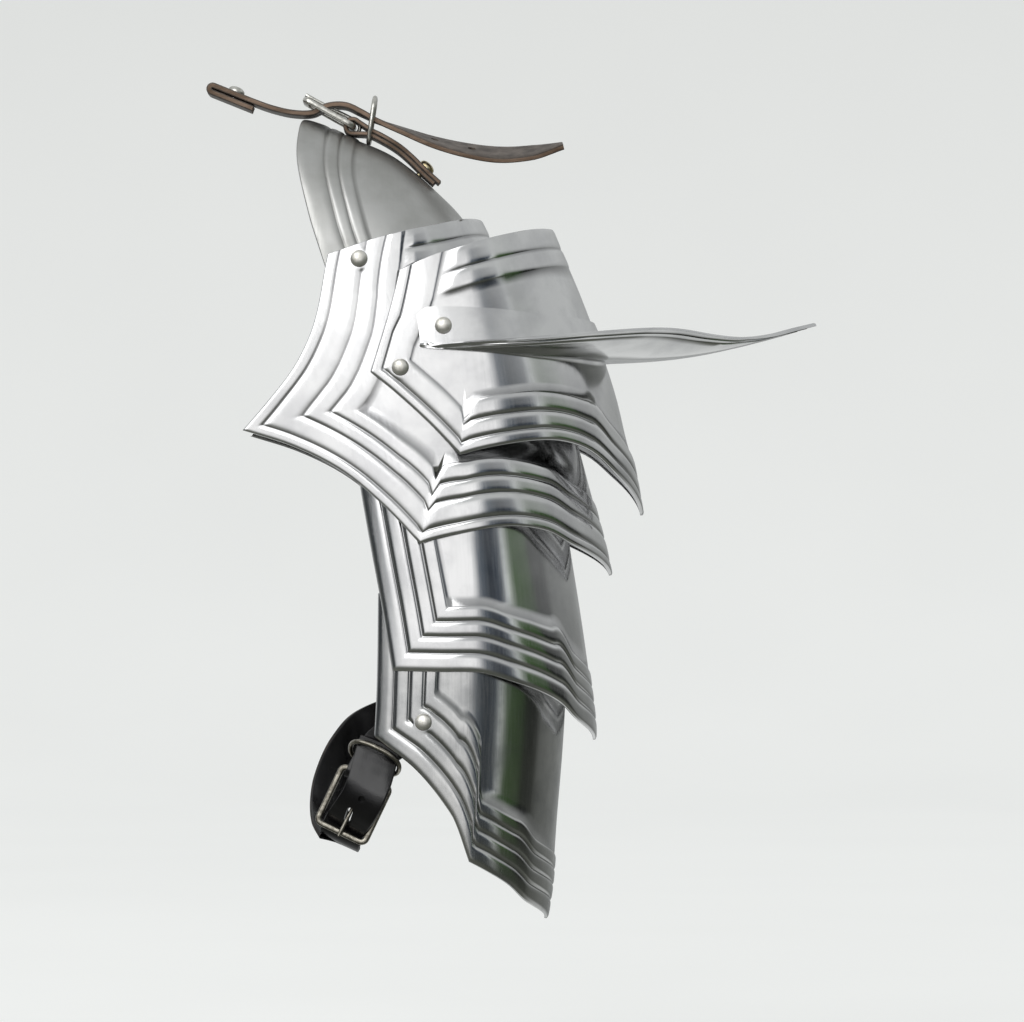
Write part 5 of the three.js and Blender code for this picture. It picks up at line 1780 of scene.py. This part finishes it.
@dataclass
class Studio:
    """Pale paper bowl, soft light and the camera in front of the guard, in metres and degrees."""

    floor: float = -0.425
    wall: float = 4.2
    bend: float = 1.0
    rise: float = 3.2
    flat: tuple[float, ...] = (0.25, 0.6, 1.2, 2.2)
    spokes: int = 96
    camera: tuple[float, float, float] = (0.048, -2.8, -0.2092)
    aim: tuple[float, float, float] = (0.075, 0.0, -0.172)
    frame_width: float = 0.475
    sensor: float = 36.0
    lamp: tuple[float, float, float] = (-1.2, -2.4, 1.3)
    lamp_size: float = 2.6
    lamp_watts: float = 42.0
    strength: float = 1.15
    ceiling: str = "#bdbfbf"
    skirting: tuple[tuple[float, str], ...] = (
        (-180, "#959796"), (-110, "#8c8e8c"), (-65, "#53554f"), (-20, "#575953"), (30, "#464842"),
        (95, "#454741"), (145, "#747673"), (180, "#959796"))
    ground: tuple[tuple[float, str], ...] = (
        (-180, "#d3d5d4"), (-130, "#bcbebd"), (-85, "#6a6c66"), (-40, "#5c5e58"), (45, "#50524c"),
        (85, "#5f615b"), (125, "#b6b8b7"), (180, "#d3d5d4"))
    room: tuple[tuple[float, str], ...] = (
        (-180, "#a2a4a4"), (-160, "#d8dadb"), (-128, "#c6c8c9"), (-88, "#5c5f61"), (-72, "#2e3134"),
        (-48, "#34383c"), (-39, "#c3c5c6"), (-32, "#ffffff"), (15, "#ffffff"), (23, "#59616a"),
        (34, "#2f343b"), (47, "#434a54"), (51, "#d2d6d6"), (55, "#a7ada6"), (60, "#3c5231"),
        (79, "#34482b"), (84, "#1d1f1d"), (100, "#242625"), (106, "#636563"), (140, "#7e807e"),
        (180, "#a2a4a4"))

    def hang_paper(self) -> None:
        """Lays a pale round floor that curves up all round, far behind the guard, into a wall."""
        turn = np.linspace(0, math.pi / 2, 25)
        flat, count = np.array(self.flat), self.spokes
        reach = np.concatenate([flat, self.wall - self.bend + self.bend * np.sin(turn), [self.wall]])
        height = np.concatenate([0 * flat, self.bend - self.bend * np.cos(turn), [self.rise]]) + self.floor
        spokes = np.arange(count) * 2 * math.pi / count
        points = [(r * math.cos(t) + self.aim[0], r * math.sin(t), z)
                  for r, z in zip(reach, height) for t in spokes]
        faces = [tuple(range(count))]
        for k in range(0, (len(reach) - 1) * count, count):
            for m in range(count):
                n = (m + 1) % count
                faces.append((k + m, k + count + m, k + count + n, k + n))
        data = bpy.data.meshes.new("paper_sweep")
        data.from_pydata(points, [], faces)
        data.shade_smooth()
        data.materials.append(WARDROBE.get(PAPER))
        made = bpy.data.objects.new("paper_sweep", data)
        bpy.context.collection.objects.link(made)
        # The paper is only looked at; the room below lights the guard and shows in the steel.
        made.visible_diffuse = made.visible_glossy = made.visible_transmission = made.visible_shadow = False

    def aimed(self, name: str, data: bpy.types.ID, at: Sequence[float]) -> bpy.types.Object:
        """Puts up a lamp or a camera that faces the guard.

        Args:
            name: Its name.
            data: The lamp or the camera.
            at: Where it goes.

        Returns:
            The object.
        """
        made = bpy.data.objects.new(name, data)
        made.location = at
        made.rotation_euler = (Vector(self.aim) - Vector(at)).to_track_quat("-Z", "Y").to_euler()
        bpy.context.collection.objects.link(made)
        return made

    def hang_light(self) -> None:
        """Hangs a wide soft box in front and above."""
        lamp = bpy.data.lights.new("front soft box", "AREA")
        lamp.shape = "RECTANGLE"
        lamp.size = lamp.size_y = self.lamp_size
        lamp.energy = self.lamp_watts
        self.aimed("front soft box", lamp, self.lamp).visible_camera = False

    def surround(self) -> None:
        """Sets the room that the steel mirrors: white in front, dark and green stretches to the side."""
        world = bpy.data.worlds.new("pale studio")
        bpy.context.scene.world = world
        world.use_nodes = True
        tree = world.node_tree
        tree.nodes.clear()
        place = add_node(tree, "ShaderNodeTexCoord")
        part = add_node(tree, "ShaderNodeSeparateXYZ", links={0: place.outputs["Generated"]})
        back = add_node(tree, "ShaderNodeMath", {"operation": "MULTIPLY"}, {0: part.outputs["Y"], 1: -1.0})
        bearing = add_node(tree, "ShaderNodeMath", {"operation": "ARCTAN2"}, {
            0: part.outputs["X"], 1: back.outputs["Value"]})
        share = add_node(tree, "ShaderNodeMapRange", links={
            "Value": bearing.outputs["Value"], "From Min": -math.pi, "From Max": math.pi})
        colour, skirting, ground = (
            add_node(tree, "ShaderNodeValToRGB", links={"Fac": share.outputs["Result"]}, stops=[
                ((angle + 180) / 360, code) for angle, code in stops]).outputs["Color"]
            for stops in (self.room, self.skirting, self.ground))
        # Each layer fades in between two sines of the height above the horizon, up to a share.
        layers = ((0.06, 0.3, 0.93, linear(self.ceiling)), (-0.02, -0.2, 0.85, skirting),
                  (-0.24, -0.4, 1.0, ground))
        for start, full, most, over in layers:
            fade = add_node(tree, "ShaderNodeMapRange", links={
                "Value": part.outputs["Z"], "From Min": start, "From Max": full, "To Max": most})
            colour = add_node(tree, "ShaderNodeMix", {"data_type": "RGBA"}, {
                "Factor": fade.outputs["Result"], 6: colour, 7: over}).outputs[2]
        glow = add_node(tree, "ShaderNodeBackground", links={"Color": colour, "Strength": self.strength})
        add_node(tree, "ShaderNodeOutputWorld", links={"Surface": glow.outputs["Background"]})

    def set_camera(self) -> None:
        """Sets the camera level with the guard, as far off as the photograph was taken."""
        data = bpy.data.cameras.new("camera")
        data.sensor_width = self.sensor
        data.lens = self.sensor * (Vector(self.aim) - Vector(self.camera)).length / self.frame_width
        bpy.context.scene.camera = self.aimed("camera", data, self.camera)

    def build(self) -> None:
        """Sets up the whole studio."""
        self.set_camera()
        self.hang_paper()
        self.surround()
        self.hang_light()
        bpy.context.scene.view_settings.view_transform = "Standard"


def main() -> None:
    """Builds the studio and every piece of the guard, and notes its size."""
    logging.basicConfig(level=logging.INFO, format="%(name)s: %(message)s")
    Studio().build()
    cap = ShoulderCap()
    cap.build()
    for plate in (MAIN_PLATE, OUTER_PLATE, UPPER_LAME, LOWER_LAME):
        plate.build()
    WingFin().build()
    PlateRivets(cap).build()
    InnerLeathers().build()
    ShoulderStrap().build()
    ArmStrap().build()
    bpy.context.view_layer.update()


if __name__ == "__main__":
    main()
